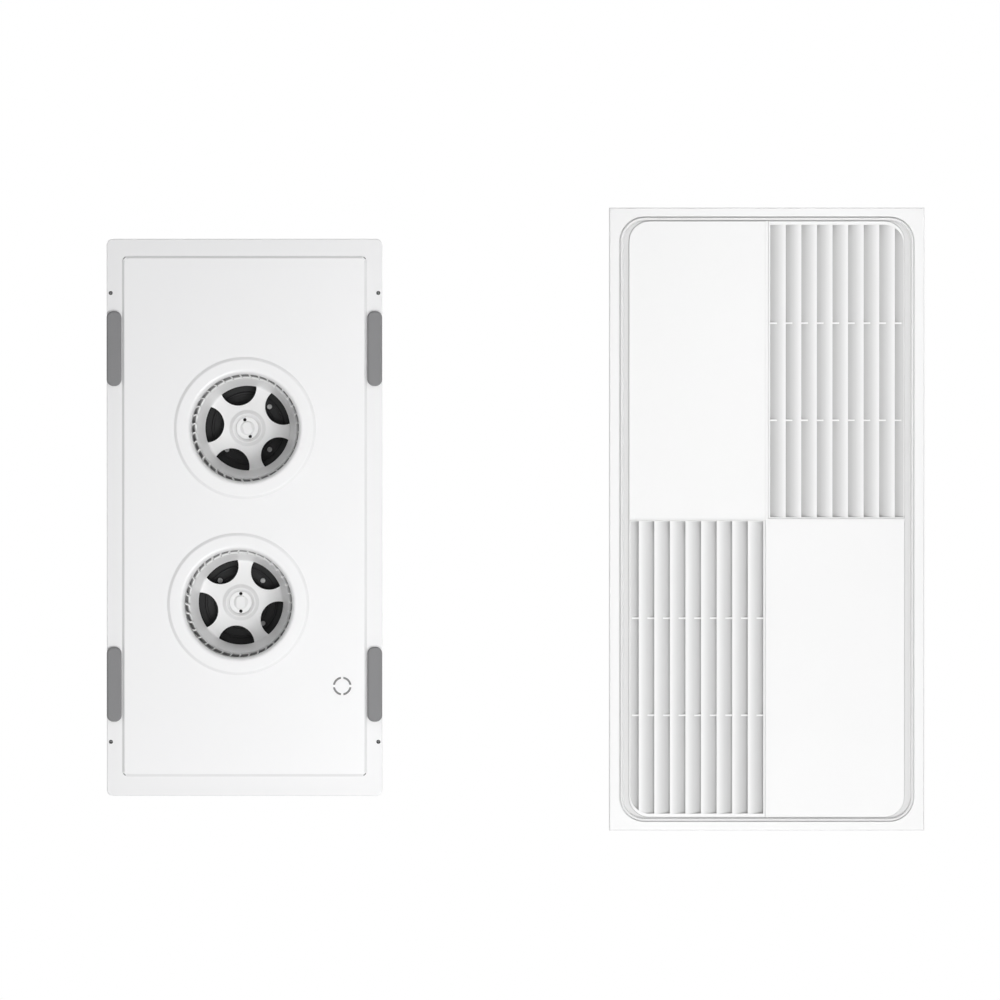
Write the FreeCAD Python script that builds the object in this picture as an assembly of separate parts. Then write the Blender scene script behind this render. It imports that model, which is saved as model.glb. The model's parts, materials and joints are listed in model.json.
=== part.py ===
import FreeCAD, Part
import math
import os

# Recessed exhaust fan with two wheels, shown upright with its louvre panel taken off and set to the right.
# X runs to the right across the face, Y from the room into the recess and Z up along the long side.
# The origin is the centre of the four flange holes, on the flange's back face. Sizes are millimetres.

V = FreeCAD.Vector
INWARD = V(0, 1, 0)
ORIGIN = V(0, 0, 0)

# Face plate
PLATE_WIDTH = 270.0
PLATE_HEIGHT = 546.0
PLATE_CORNER = 6.0
PLATE_WALL = 2.5
PLATE_EDGE_ROUND = 1.0
FLANGE_SIDE = 15.0
FLANGE_END = 19.0
FIELD_RISE = 2.0
FIELD_DRAFT = 2.4
FIELD_CORNER = 5.0
FLANGE_HOLE_RADIUS = 2.0
FLANGE_HOLE_EDGE = 3.9
FLANGE_HOLE_UP = 220.0
KNOCKOUT_FROM_EDGE = 39.3
KNOCKOUT_Z = -165.2
KNOCKOUT_RADIUS = 8.1
KNOCKOUT_SLOT = 2.0
KNOCKOUT_BRIDGE = 2.4
KNOCKOUT_SKIN = 0.8

# Foam seal behind the flange
FOAM_THICKNESS = 1.0
FOAM_EDGE = 1.0
FOAM_WIDTH_SIDE = 14.0
FOAM_WIDTH_END = 16.0

# Magnet pads on the flange
PAD_LENGTH = 75.4
PAD_THICKNESS = 4.0
PAD_UP = 164.5
PAD_CLEARANCE = 0.4
PAD_ROUND = 6.6

# Inlets
UPPER_X = 0.5
UPPER_Z = 87.7
LOWER_X = -6.2
LOWER_Z = -84.8
RIM_RADIUS = 69.6
RIM_LIP = 2.0
RIM_FOOT = 0.3
RIM_SLOPE = 2.8
RIM_LAND = 2.2
MOUTH_RADIUS = 52.6
MOUTH_ROUND = 5.0
MOUTH_WALL = 2.0
THROAT_LENGTH = 12.3
RING_CLEARANCE = 0.3
RING_SKIRT = 2.2

# Fan wheels
WHEEL_RADIUS = 58.5
WHEEL_GAP = 2.0
WHEEL_HEIGHT = 57.0
BLADES = 36
BLADE_INNER = 49.0
BLADE_WALL = 1.3
BLADE_SWEEP = 9.0
BLADE_CAMBER = 2.6
HOOP_WIDTH = 3.0
HOOP_HEIGHT = 2.5
BOWL_RIM_DEPTH = 23.0
BOWL_RIM_RADIUS = 49.0
BOWL_BASE_RADIUS = 42.2
BOWL_WALL = 1.8
SPOKES = 5
SPIDER_WALL = 3.0
SPIDER_SET = 1.0
SPIDER_DOME = 3.0
WINDOW_RADIUS = 18.0
WINDOW_CIRCLE_RADIUS = 41.2
HUB_RADIUS = 18.0
HUB_RISE = 2.6
HUB_SLOPE = 3.4
HUB_RECESS_RADIUS = 11.3
HUB_RECESS_SLOPE = 2.5
HUB_RECESS = 4.4
HUB_TUBE_RADIUS = 11.5
UPPER_SPOKE_ANGLE = -5.0
LOWER_SPOKE_ANGLE = 11.5

# Clamp nuts on the hubs
NUT_RADIUS = 11.0
NUT_THICKNESS = 2.2
NUT_HOLE_RADIUS = 1.5
NUT_HOLE_CIRCLE_RADIUS = 8.7
NUT_HOLE_ANGLE = 113.0
NUT_HOLE_DEPTH = 3.4
NUT_BOSS_LENGTH = 13.6
NUT_BOSS_WIDTH = 14.0
NUT_BOSS_ROUND = 6.4
NUT_BOSS_RISE = 2.2
NUT_BOSS_SIDE_SLOPE = 2.8
NUT_BOSS_END_SLOPE = 0.7

# Twin scroll housing
SCROLL_WALL = 2.2
SCROLL_ARCS = 4
SCROLL_START_RADIUS = 63.5
SCROLL_BACK_GAP = 8.0
TONGUE_ANGLE = 45.0
OUTLET_FROM_MIDDLE = 84.0
OUTLET_LIP = 8.0
MOTOR_OPENING_RADIUS = 47.0
LUG_OFFSET = 5.0
LUG_RADIUS = 6.2
LUG_THICKNESS = 2.5
BOSS_RADIUS = 4.4
BOSS_HEIGHT = 8.0
BACK_RIB_HEIGHT = 3.0
BACK_RIB_WIDTH = 2.0

# How far a cutting tool runs past the face that it cuts
OVER = 1.0

# Screws, with plain shanks
SCREW_RADIUS = 1.45
SCREW_PILOT = 1.5
SCREW_PASS = 1.8
SCREW_HEAD_RADIUS = 3.0
SCREW_HEAD_HEIGHT = 1.8
SCREW_GRIP = 6.0

# Motors
MOTOR_PLATE_RADIUS = 57.0
MOTOR_PLATE_WALL = 1.6
MOTOR_PLATE_SCREW_CIRCLE_RADIUS = 52.0
MOTOR_RADIUS = 38.0
MOTOR_WALL = 1.5
MOTOR_LENGTH = 30.0
MOTOR_EDGE_ROUND = 5.0
MOTOR_BOLT_CIRCLE_RADIUS = 30.0
MOTOR_BOLT_HEAD = 2.5
BEARING_BOSS_RADIUS = 9.5
BEARING_BOSS_LENGTH = 5.0
STATOR_LENGTH = 20.0
STATOR_INNER = 20.2
STATOR_CLEARANCE = 0.1
AIR_GAP = 0.6
SHAFT_RADIUS = 4.0
SHAFT_SHOULDER_RADIUS = 6.5
SHAFT_SHOULDER = 2.6
SHAFT_RUNNING = 0.03
SHAFT_END_GAP = 0.5
BUSH_WALL = 2.6
BUSH_LENGTH = 5.0
BUSH_FLANGE_RADIUS = 9.0
BUSH_FLANGE = 1.5

# Outlet collar and damper
COLLAR_RADIUS = 49.0
COLLAR_WALL = 1.8
COLLAR_INSET = 4.0
COLLAR_FROM_FLANGE = 2.4
COLLAR_BASE = 2.2
COLLAR_HOOP = 3.0
FLAP_FROM_END = 22.0
FLAP_WALL = 1.6
FLAP_CLEARANCE = 2.2
FLAP_PIVOT_OFFSET = 20.0
FLAP_KNUCKLE_RADIUS = 3.2
FLAP_KNUCKLE_HALF = 40.0
PIN_RADIUS = 1.5
PIN_RUNNING = 0.06
SEAT_WIDTH = 4.4
SEAT_THICKNESS = 2.0
SEAT_GAP = 0.3
SEAT_BELOW_PIVOT = 7.0

# Terminal box, gland and capacitors
BOX_WIDTH = 38.0
BOX_HEIGHT = 60.0
BOX_DEPTH = 40.0
BOX_WALL = 2.0
BOX_CORNER = 4.0
BOX_ENTRY_RADIUS = 10.0
BOX_LUG_OFFSET = 6.0
COVER_THICKNESS = 2.0
COVER_BOSS_RADIUS = 3.6
BLOCK_LENGTH = 30.0
BLOCK_WIDTH = 12.0
BLOCK_HEIGHT = 14.0
BLOCK_WAYS = 3
BLOCK_BORE = 2.2
BLOCK_FROM_EDGE = 14.0
GLAND_RADIUS = 6.0
GLAND_BORE = 3.6
GLAND_NUT_RADIUS = 9.0
GLAND_NUT = 6.0
GLAND_RING = 3.0
GLAND_LENGTH = 15.0
CAPACITOR_LENGTH = 40.0
CAPACITOR_WIDTH = 16.0
CAPACITOR_HEIGHT = 26.0
CAPACITOR_ROUND = 3.0
CAPACITOR_EAR = 10.0
CAPACITOR_EAR_WALL = 2.0
CAPACITOR_X = -34.0
CAPACITOR_SPACING = 24.0

# Front panel, measured from its back plane towards the room
PANEL_WIDTH = 302.0
PANEL_HEIGHT = 597.0
PANEL_THICKNESS = 12.0
PANEL_EDGE_ROUND = 1.5
PANEL_SKIRT = 2.0
PANEL_SKIN = 3.0
PANEL_GAP = 0.3
PANEL_ASIDE = 506.0
PANEL_FORWARD = 130.0
BEAD_HALF_WIDTH = 141.4
BEAD_HALF_HEIGHT = 290.0
BEAD_CORNER = 24.0
BEAD_WIDTH = 4.3
BEAD_CREST = 2.3
BEAD_GROOVE = 2.6
BEAD_RISE = 0.9
CHANNEL_WIDTH = 5.0
CHANNEL_DEPTH = 2.0
LEDGE_SIDE = 12.5
LEDGE_END = 7.0
LEDGE_MIDDLE = 7.0
LEDGE_THICKNESS = 3.0
MULLION_UPRIGHT = 2.6
MULLION_CROSS = 1.4
MULLION_TOP = 12.0
INSERT_CLEARANCE = 0.3
BLANK_SKIN = 2.0
BLANK_WALL = 1.6
LOUVRE_RIM_MIDDLE = 1.6
LOUVRE_RIM_OUTER = 0.9
SLAT_PITCH = 14.93
SLAT_WALL = 1.8
SLAT_UNDERLAP = 1.5
SLAT_CROWN = 0.72
SLAT_DEEP = 3.2
SLAT_FRONT = 11.6
TIE_LOW = 94.1
TIE_HIGH = 187.2
TIE_WIDTH = 1.5
TIE_FRONT = 9.3
KEEPER_WIDTH = 12.0
KEEPER_LENGTH = 74.0
KEEPER_THICKNESS = 1.5

# Depths and places worked out from the sizes above
FIELD_FACE = -(PLATE_WALL + FIELD_RISE)
FIELD_BACK = -FIELD_RISE
BOSS_TOP = FIELD_BACK + BOSS_HEIGHT
RING_FACE = FIELD_FACE - RIM_LIP
THROAT_START = RING_FACE + MOUTH_ROUND
THROAT_END = THROAT_START + THROAT_LENGTH
WHEEL_FRONT = THROAT_END + WHEEL_GAP
WHEEL_BACK = WHEEL_FRONT + WHEEL_HEIGHT
BOWL_RIM = WHEEL_FRONT + BOWL_RIM_DEPTH
SPIDER_BACK = WHEEL_BACK - SPIDER_SET
SPIDER_FRONT = SPIDER_BACK - SPIDER_WALL
HUB_FRONT = SPIDER_FRONT - SPIDER_DOME
HUB_FACE = HUB_FRONT - HUB_RISE
NUT_SEAT = HUB_FACE + HUB_RECESS
SCROLL_BACK = WHEEL_BACK + SCROLL_BACK_GAP
HOUSING_BACK = SCROLL_BACK + SCROLL_WALL
MOTOR_FRONT = HOUSING_BACK + MOTOR_PLATE_WALL
MOTOR_BACK = MOTOR_FRONT + MOTOR_LENGTH
MOTOR_END = MOTOR_BACK + BEARING_BOSS_LENGTH
STATOR_FRONT = MOTOR_FRONT + (MOTOR_LENGTH - MOTOR_WALL - STATOR_LENGTH) / 2
AXIS_SPAN = UPPER_Z - LOWER_Z
AXIS_MIDDLE = (UPPER_Z + LOWER_Z) / 2
SCROLL_STEP = (AXIS_SPAN / 2 - SCROLL_WALL / 2 - SCROLL_START_RADIUS) / (SCROLL_ARCS - 0.5)
COLLAR_END_X = COLLAR_INSET - PLATE_WIDTH / 2
OUTLET_X = -OUTLET_FROM_MIDDLE
FLAP_X = COLLAR_END_X + FLAP_FROM_END
KNOCKOUT_X = PLATE_WIDTH / 2 - KNOCKOUT_FROM_EDGE
COLLAR_DEPTH = COLLAR_FROM_FLANGE + COLLAR_RADIUS
COLLAR_BORE = COLLAR_RADIUS - COLLAR_WALL
FLAP_PIVOT = COLLAR_DEPTH + FLAP_PIVOT_OFFSET
PANEL_SEAT = -(PLATE_WALL + PAD_THICKNESS + PANEL_GAP)
PANEL_FIELD_HALF_WIDTH = BEAD_HALF_WIDTH - BEAD_WIDTH - CHANNEL_WIDTH
PANEL_FIELD_HALF_HEIGHT = BEAD_HALF_HEIGHT - BEAD_WIDTH
PANEL_FIELD_CORNER = BEAD_CORNER - BEAD_WIDTH
PANEL_PLACE = V(PANEL_ASIDE, -PANEL_FORWARD, 0)
PAD_WIDTH = FLANGE_SIDE - PAD_CLEARANCE
PAD_ACROSS = PLATE_WIDTH / 2 - PAD_WIDTH / 2


def block(x0, x1, y0, y1, z0, z1):
    """A box between two corners, given in any order."""
    low = V(min(x0, x1), min(y0, y1), min(z0, z1))
    return Part.makeBox(abs(x1 - x0), abs(y1 - y0), abs(z1 - z0), low)


def rod(radius, y0, y1, x=0.0, z=0.0):
    """A cylinder along the depth."""
    return Part.makeCylinder(radius, y1 - y0, V(x, y0, z), INWARD)


def tube(outer, inner, y0, y1, x=0.0, z=0.0):
    return rod(outer, y0, y1, x, z).cut(rod(inner, y0 - OVER, y1 + OVER, x, z))


def cross_rod(radius, x0, x1, y, z):
    """A cylinder across the face, along X."""
    return Part.makeCylinder(radius, x1 - x0, V(x0, y, z), V(1, 0, 0))


def joined(first, others):
    return first.multiFuse(list(others)).removeSplitter()


def polar(radius, degrees):
    """X and Z of a point on a circle, as seen from the room."""
    angle = math.radians(degrees)
    return radius * math.cos(angle), radius * math.sin(angle)


def arc_edge(centre, radius, start, end, y=0.0):
    """An arc in the face's plane between two angles, about an X, Z centre."""
    points = []
    for degrees in (start, (start + end) / 2, end):
        x, z = polar(radius, degrees)
        points.append(V(centre[0] + x, y, centre[1] + z))
    return Part.Arc(*points).toShape()


def rounded_wire(half_width, half_height, corner, y):
    """A rectangle with round corners in the face's plane."""
    w, h = half_width - corner, half_height - corner
    edges = []
    for turn, (x, z) in enumerate([(w, h), (-w, h), (-w, -h), (w, -h)]):
        arc = arc_edge((x, z), corner, 90 * turn, 90 * turn + 90, y)
        if edges:
            edges.append(Part.LineSegment(edges[-1].Vertexes[-1].Point, arc.Vertexes[0].Point).toShape())
        edges.append(arc)
    edges.append(Part.LineSegment(edges[-1].Vertexes[-1].Point, edges[0].Vertexes[0].Point).toShape())
    return Part.Wire(edges)


def rounded_block(half_width, half_height, corner, y0, y1):
    face = Part.Face(rounded_wire(half_width, half_height, corner, y0))
    return face.extrude(V(0, y1 - y0, 0))


def turned(edges):
    """Turns a closed profile of radius and depth about the wheel's axis."""
    return Part.Face(Part.Wire(edges)).revolve(ORIGIN, INWARD, 360)


def profile_lines(points):
    """Edges of an open or closed profile through points of radius and depth."""
    places = [V(radius, depth, 0) for radius, depth in points]
    return [Part.LineSegment(a, b).toShape() for a, b in zip(places, places[1:])]


def turned_points(points):
    return turned(profile_lines(points + points[:1]))


def moved(shape, x=0.0, y=0.0, z=0.0):
    placed = shape.copy()
    placed.translate(V(x, y, z))
    return placed


def spun(shape, degrees):
    """Turned about the depth axis, anticlockwise as seen from the room."""
    placed = shape.copy()
    placed.rotate(ORIGIN, V(0, -1, 0), degrees)
    return placed


def upper(shape):
    return moved(shape, UPPER_X, 0, UPPER_Z)


def lower(shape):
    return moved(shape, LOWER_X, 0, LOWER_Z)


def back_screw(x, z, seat, grip=SCREW_GRIP):
    """A pan-head screw put in from behind: its head sits on seat and its shank points at the room."""
    head = rod(SCREW_HEAD_RADIUS, seat, seat + SCREW_HEAD_HEIGHT, x, z)
    rim = [edge for edge in head.Edges if edge.BoundBox.YMin > seat + SCREW_HEAD_HEIGHT / 2]
    head = head.makeFillet(SCREW_HEAD_HEIGHT / 3, rim[:1])
    return head.fuse(rod(SCREW_RADIUS, seat - grip, seat, x, z))


def scroll_arcs(x, z, side):
    """The four quarter arcs of one scroll as (centre, radius, start, end), from the tongue to the outlet.

    Their centres are the corners of a small square about the wheel's axis, so each arc runs on from the last.
    side is 1 for the upper scroll, which blows out below its wheel, and -1 for its mirror image.
    """
    half = SCROLL_STEP / 2
    corners = [(-half, half), (half, half), (half, -half), (-half, -half)]
    angles = [180 + TONGUE_ANGLE, 180, 90, 0, -90]
    arcs = []
    for turn, (dx, dz) in enumerate(corners):
        radius = SCROLL_START_RADIUS + turn * SCROLL_STEP
        arcs.append(((x + dx, z + side * dz), radius, side * angles[turn], side * angles[turn + 1]))
    return arcs


def scroll_face(x, z, side):
    """The air space of one scroll with its straight way to the outlet."""
    edges = [arc_edge(*arc, y=FIELD_BACK) for arc in scroll_arcs(x, z, side)]
    tongue = edges[0].Vertexes[0].Point
    last = edges[-1].Vertexes[-1].Point
    corners = [last, V(OUTLET_X, FIELD_BACK, last.z), V(OUTLET_X, FIELD_BACK, tongue.z), tongue]
    edges += [Part.LineSegment(a, b).toShape() for a, b in zip(corners, corners[1:])]
    return Part.Face(Part.Wire(edges))


def tongue_height(x, z, side):
    centre, radius, start, _ = scroll_arcs(x, z, side)[0]
    return centre[1] + polar(radius, start)[1]


OUTLET_TOP = tongue_height(UPPER_X, UPPER_Z, 1)
OUTLET_BOTTOM = tongue_height(LOWER_X, LOWER_Z, -1)


def lug_places():
    """X and Z of the housing screws, three round the outside of each scroll."""
    places = []
    for x, z, side in ((UPPER_X, UPPER_Z, 1), (LOWER_X, LOWER_Z, -1)):
        for turn, degrees in ((1, 135), (2, 45), (3, -25)):
            centre, radius = scroll_arcs(x, z, side)[turn][:2]
            dx, dz = polar(radius + SCROLL_WALL + LUG_OFFSET, side * degrees)
            places.append((centre[0] + dx, centre[1] + dz))
    return places


def flange_hole_places():
    across = PLATE_WIDTH / 2 - FLANGE_HOLE_EDGE
    return [(x * across, z * FLANGE_HOLE_UP) for x in (-1, 1) for z in (-1, 1)]


def box_lug_places():
    reach = BOX_HEIGHT / 2 + BOX_LUG_OFFSET
    return [(KNOCKOUT_X, KNOCKOUT_Z + reach), (KNOCKOUT_X, KNOCKOUT_Z - reach)]


def face_plate():
    """The moulded plate: a flange, a raised field with drafted sides, ring holes and screw bosses behind."""
    plate = rounded_block(PLATE_WIDTH / 2, PLATE_HEIGHT / 2, PLATE_CORNER, -PLATE_WALL, 0)
    edges = [edge for edge in plate.Edges if edge.BoundBox.YMax < PLATE_EDGE_ROUND - PLATE_WALL]
    plate = plate.makeFillet(PLATE_EDGE_ROUND, edges)
    across = PLATE_WIDTH / 2 - FLANGE_SIDE
    along = PLATE_HEIGHT / 2 - FLANGE_END
    foot = rounded_wire(across, along, FIELD_CORNER, -PLATE_WALL)
    top = rounded_wire(across - FIELD_DRAFT, along - FIELD_DRAFT, FIELD_CORNER, FIELD_FACE)
    plate = plate.fuse(Part.makeLoft([foot, top], True, True))
    inset = PLATE_WALL
    mouth = rounded_wire(across - inset, along - inset, FIELD_CORNER, 0)
    floor = rounded_wire(across - FIELD_DRAFT - inset, along - FIELD_DRAFT - inset, FIELD_CORNER, FIELD_BACK)
    plate = plate.cut(Part.makeLoft([mouth, floor], True, True))
    hole = rod(RIM_RADIUS - RIM_LAND, FIELD_FACE - OVER, OVER)
    cuts = [upper(hole), lower(hole)]
    cuts += [rod(FLANGE_HOLE_RADIUS, -PLATE_WALL - OVER, OVER, x, z) for x, z in flange_hole_places()]
    cuts.append(knockout_grooves())
    bosses = [rod(BOSS_RADIUS, FIELD_BACK, BOSS_TOP, x, z) for x, z in lug_places() + box_lug_places()]
    plate = joined(plate.cut(Part.makeCompound(cuts)), bosses)
    pilots = [rod(SCREW_PILOT, FIELD_BACK, BOSS_TOP + OVER, x, z) for x, z in lug_places() + box_lug_places()]
    return plate.cut(Part.makeCompound(pilots))


def knockout_grooves():
    """Four arc grooves with bridges between them, round a disc to push out for a cable."""
    outer = KNOCKOUT_RADIUS + KNOCKOUT_SLOT / 2
    bottom = FIELD_BACK - KNOCKOUT_SKIN
    ring = tube(outer, KNOCKOUT_RADIUS - KNOCKOUT_SLOT / 2, FIELD_FACE - OVER, bottom)
    half = KNOCKOUT_BRIDGE / 2
    bridges = [block(-outer, outer, FIELD_FACE - OVER, bottom, -half, half)]
    bridges.append(block(-half, half, FIELD_FACE - OVER, bottom, -outer, outer))
    return moved(ring.cut(Part.makeCompound(bridges)), KNOCKOUT_X, 0, KNOCKOUT_Z)


def inlet_ring():
    """A flat ring on the field: a sloping rim, a round mouth, a throat and a skirt in the plate's hole."""
    skirt = RIM_RADIUS - RIM_LAND - RING_CLEARANCE
    centre = MOUTH_RADIUS + MOUTH_ROUND, THROAT_START
    inner = Part.Arc(*bell_points(centre, MOUTH_ROUND)).toShape()
    outer = Part.Arc(*reversed(bell_points(centre, MOUTH_ROUND - MOUTH_WALL))).toShape()
    rim = [(RIM_RADIUS, FIELD_FACE - RIM_FOOT), (RIM_RADIUS - RIM_SLOPE, RING_FACE)]
    throat = MOUTH_RADIUS + MOUTH_WALL
    end = [(MOUTH_RADIUS, THROAT_START), (MOUTH_RADIUS, THROAT_END)]
    end += [(throat, THROAT_END), (throat, THROAT_START)]
    hollow = RING_FACE + MOUTH_WALL
    foot = FIELD_FACE + RING_SKIRT
    tail = [(centre[0], hollow), (skirt - MOUTH_WALL, hollow), (skirt - MOUTH_WALL, foot), (skirt, foot)]
    tail += [(skirt, FIELD_FACE), (RIM_RADIUS, FIELD_FACE), rim[0]]
    face = profile_lines([*rim, (centre[0], RING_FACE)])
    return turned(face + [inner] + profile_lines(end) + [outer] + profile_lines(tail))


def bell_points(centre, radius):
    """Start, middle and end of a quarter circle from the face round into the throat."""
    lean = radius * math.sqrt(0.5)
    start = V(centre[0], centre[1] - radius, 0)
    middle = V(centre[0] - lean, centre[1] - lean, 0)
    return [start, middle, V(centre[0] - radius, centre[1], 0)]


def foam_seal():
    """A thin foam strip round the flange's back, with a way through for each screw."""
    outer = PLATE_WIDTH / 2 - FOAM_EDGE, PLATE_HEIGHT / 2 - FOAM_EDGE
    strip = rounded_block(*outer, PLATE_CORNER - FOAM_EDGE, 0, FOAM_THICKNESS)
    inner = outer[0] - FOAM_WIDTH_SIDE, outer[1] - FOAM_WIDTH_END
    strip = strip.cut(rounded_block(*inner, PLATE_CORNER - FOAM_EDGE, -OVER, FOAM_THICKNESS + OVER))
    holes = [rod(FLANGE_HOLE_RADIUS, -OVER, FOAM_THICKNESS + OVER, x, z) for x, z in flange_hole_places()]
    return strip.cut(Part.makeCompound(holes))


def magnet_pad(side, end):
    """A rubber-covered magnet strip on the flange, flush with the plate's side edge."""
    pad = rounded_block(PAD_WIDTH / 2, PAD_LENGTH / 2, PAD_ROUND, -PLATE_WALL - PAD_THICKNESS, -PLATE_WALL)
    return moved(pad, side * PAD_ACROSS, 0, end * PAD_UP)


def blade(hand):
    """One forward-curved blade, between an inner and an outer radius."""
    outer = WHEEL_RADIUS - HOOP_WIDTH / 2
    middle = (BLADE_INNER + outer) / 2
    stations = [(BLADE_INNER, 0), (middle, BLADE_SWEEP / 2 - BLADE_CAMBER), (outer, BLADE_SWEEP)]
    sides = []
    for offset in (-BLADE_WALL / 2, BLADE_WALL / 2):
        points = []
        for radius, degrees in stations:
            x, z = polar(radius, hand * (degrees + math.degrees(offset / radius)))
            points.append(V(x, WHEEL_FRONT, z))
        sides.append(points)
    left, right = sides
    edges = [Part.Arc(*left).toShape(), Part.LineSegment(left[-1], right[-1]).toShape()]
    edges += [Part.Arc(*reversed(right)).toShape(), Part.LineSegment(right[0], left[0]).toShape()]
    return Part.Face(Part.Wire(edges)).extrude(V(0, WHEEL_HEIGHT, 0))


def wheel_bowl():
    """The smooth bowl inside the blades, its back ring, the domed spider and the hub."""
    rim = BOWL_RIM_RADIUS + BOWL_WALL
    base = BOWL_BASE_RADIUS + BOWL_WALL
    points = [(BOWL_RIM_RADIUS, BOWL_RIM), (BOWL_BASE_RADIUS, SPIDER_FRONT), (HUB_RADIUS, HUB_FRONT)]
    points += [(HUB_RADIUS - HUB_SLOPE, HUB_FACE), (HUB_RECESS_RADIUS + HUB_RECESS_SLOPE, HUB_FACE)]
    points += [(HUB_RECESS_RADIUS, NUT_SEAT - NUT_THICKNESS), (HUB_RECESS_RADIUS, NUT_SEAT)]
    points += [(SHAFT_RADIUS, NUT_SEAT), (SHAFT_RADIUS, WHEEL_BACK), (HUB_TUBE_RADIUS, WHEEL_BACK)]
    points += [(HUB_TUBE_RADIUS, HUB_FRONT + SPIDER_WALL), (HUB_RADIUS, HUB_FRONT + SPIDER_WALL)]
    points += [(BOWL_BASE_RADIUS, SPIDER_BACK), (BOWL_BASE_RADIUS, WHEEL_BACK), (WHEEL_RADIUS, WHEEL_BACK)]
    points += [(WHEEL_RADIUS, WHEEL_BACK - BOWL_WALL), (base, WHEEL_BACK - BOWL_WALL), (rim, BOWL_RIM)]
    bowl = turned_points(points)
    window = rod(WINDOW_RADIUS, HUB_FACE - OVER, WHEEL_BACK + OVER, WINDOW_CIRCLE_RADIUS, 0)
    window = window.common(rod(BOWL_BASE_RADIUS, HUB_FACE - OVER, WHEEL_BACK + OVER))
    step = 360 / SPOKES
    return bowl.cut(Part.makeCompound([spun(window, step * (turn + 0.5)) for turn in range(SPOKES)]))


def wheel(hand, spoke_angle):
    """A moulded wheel: bowl, blades and the front hoop that ties the blade tips."""
    hoop = tube(WHEEL_RADIUS, WHEEL_RADIUS - HOOP_WIDTH, WHEEL_FRONT, WHEEL_FRONT + HOOP_HEIGHT)
    step = 360 / BLADES
    first = blade(hand)
    blades = [spun(first, step * turn) for turn in range(BLADES)]
    whole = wheel_bowl().multiFuse(blades + [hoop])
    return spun(whole.cut(nut_holes(NUT_SEAT + NUT_HOLE_DEPTH)), spoke_angle)


def nut_holes(end):
    """The nut's two spanner holes, from in front of the hub down to a depth."""
    holes = []
    for turn in (0, 180):
        x, z = polar(NUT_HOLE_CIRCLE_RADIUS, NUT_HOLE_ANGLE + turn)
        holes.append(rod(NUT_HOLE_RADIUS, HUB_FACE - NUT_THICKNESS, end, x, z))
    return Part.makeCompound(holes)


def wheel_nut(spoke_angle):
    """A round clamp nut with two spanner holes and a raised double-flat middle."""
    nut = rod(NUT_RADIUS, NUT_SEAT - NUT_THICKNESS, NUT_SEAT)
    face = NUT_SEAT - NUT_THICKNESS
    side, end = NUT_BOSS_WIDTH / 2, NUT_BOSS_LENGTH / 2
    foot = rounded_wire(side, end, NUT_BOSS_ROUND, face)
    side, end = side - NUT_BOSS_SIDE_SLOPE, end - NUT_BOSS_END_SLOPE
    crown = rounded_wire(side, end, NUT_BOSS_ROUND - NUT_BOSS_SIDE_SLOPE, face - NUT_BOSS_RISE)
    boss = Part.makeLoft([foot, crown], True, True)
    nut = spun(nut.fuse(boss), NUT_HOLE_ANGLE - 90).cut(nut_holes(NUT_SEAT + OVER))
    nut = nut.cut(rod(SHAFT_RADIUS, NUT_SEAT - NUT_THICKNESS, NUT_SEAT + OVER))
    return spun(nut, spoke_angle)


def motor_shaft():
    """The shaft from the nut to the rear bush, with a shoulder behind the wheel's hub."""
    shoulder = rod(SHAFT_SHOULDER_RADIUS, WHEEL_BACK, WHEEL_BACK + SHAFT_SHOULDER)
    return rod(SHAFT_RADIUS, NUT_SEAT - NUT_THICKNESS, MOTOR_END - MOTOR_WALL - SHAFT_END_GAP).fuse(shoulder)


def rotor():
    """The rotor drum, pressed on the shaft."""
    return tube(STATOR_INNER - AIR_GAP, SHAFT_RADIUS, STATOR_FRONT, STATOR_FRONT + STATOR_LENGTH)


def motor_bolt_places():
    return [polar(MOTOR_BOLT_CIRCLE_RADIUS, 45 + 90 * turn) for turn in range(4)]


def stator():
    """The stator stack in the can, with a way through for each bolt."""
    outer = MOTOR_RADIUS - MOTOR_WALL - STATOR_CLEARANCE
    stack = tube(outer, STATOR_INNER, STATOR_FRONT, STATOR_FRONT + STATOR_LENGTH)
    ways = [rod(SCREW_PASS, STATOR_FRONT - OVER, MOTOR_BACK, x, z) for x, z in motor_bolt_places()]
    return stack.cut(Part.makeCompound(ways))


def motor_plate():
    """The dark steel plate that closes the scroll's back and carries the motor."""
    plate = rod(MOTOR_PLATE_RADIUS, HOUSING_BACK, MOTOR_FRONT)
    cuts = [rod(SHAFT_RADIUS + BUSH_WALL, HOUSING_BACK - OVER, MOTOR_FRONT + OVER)]
    cuts += [rod(SCREW_PASS, HOUSING_BACK - OVER, MOTOR_FRONT + OVER, x, z) for x, z in motor_bolt_places()]
    cuts += [rod(SCREW_PASS, HOUSING_BACK - OVER, MOTOR_FRONT + OVER, x, z) for x, z in plate_screw_places()]
    return plate.cut(Part.makeCompound(cuts))


def plate_screw_places():
    return [polar(MOTOR_PLATE_SCREW_CIRCLE_RADIUS, 90 * turn) for turn in range(4)]


def motor_plate_screws():
    screws = [back_screw(x, z, MOTOR_FRONT, MOTOR_PLATE_WALL + SCROLL_WALL) for x, z in plate_screw_places()]
    return Part.makeCompound(screws)


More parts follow.
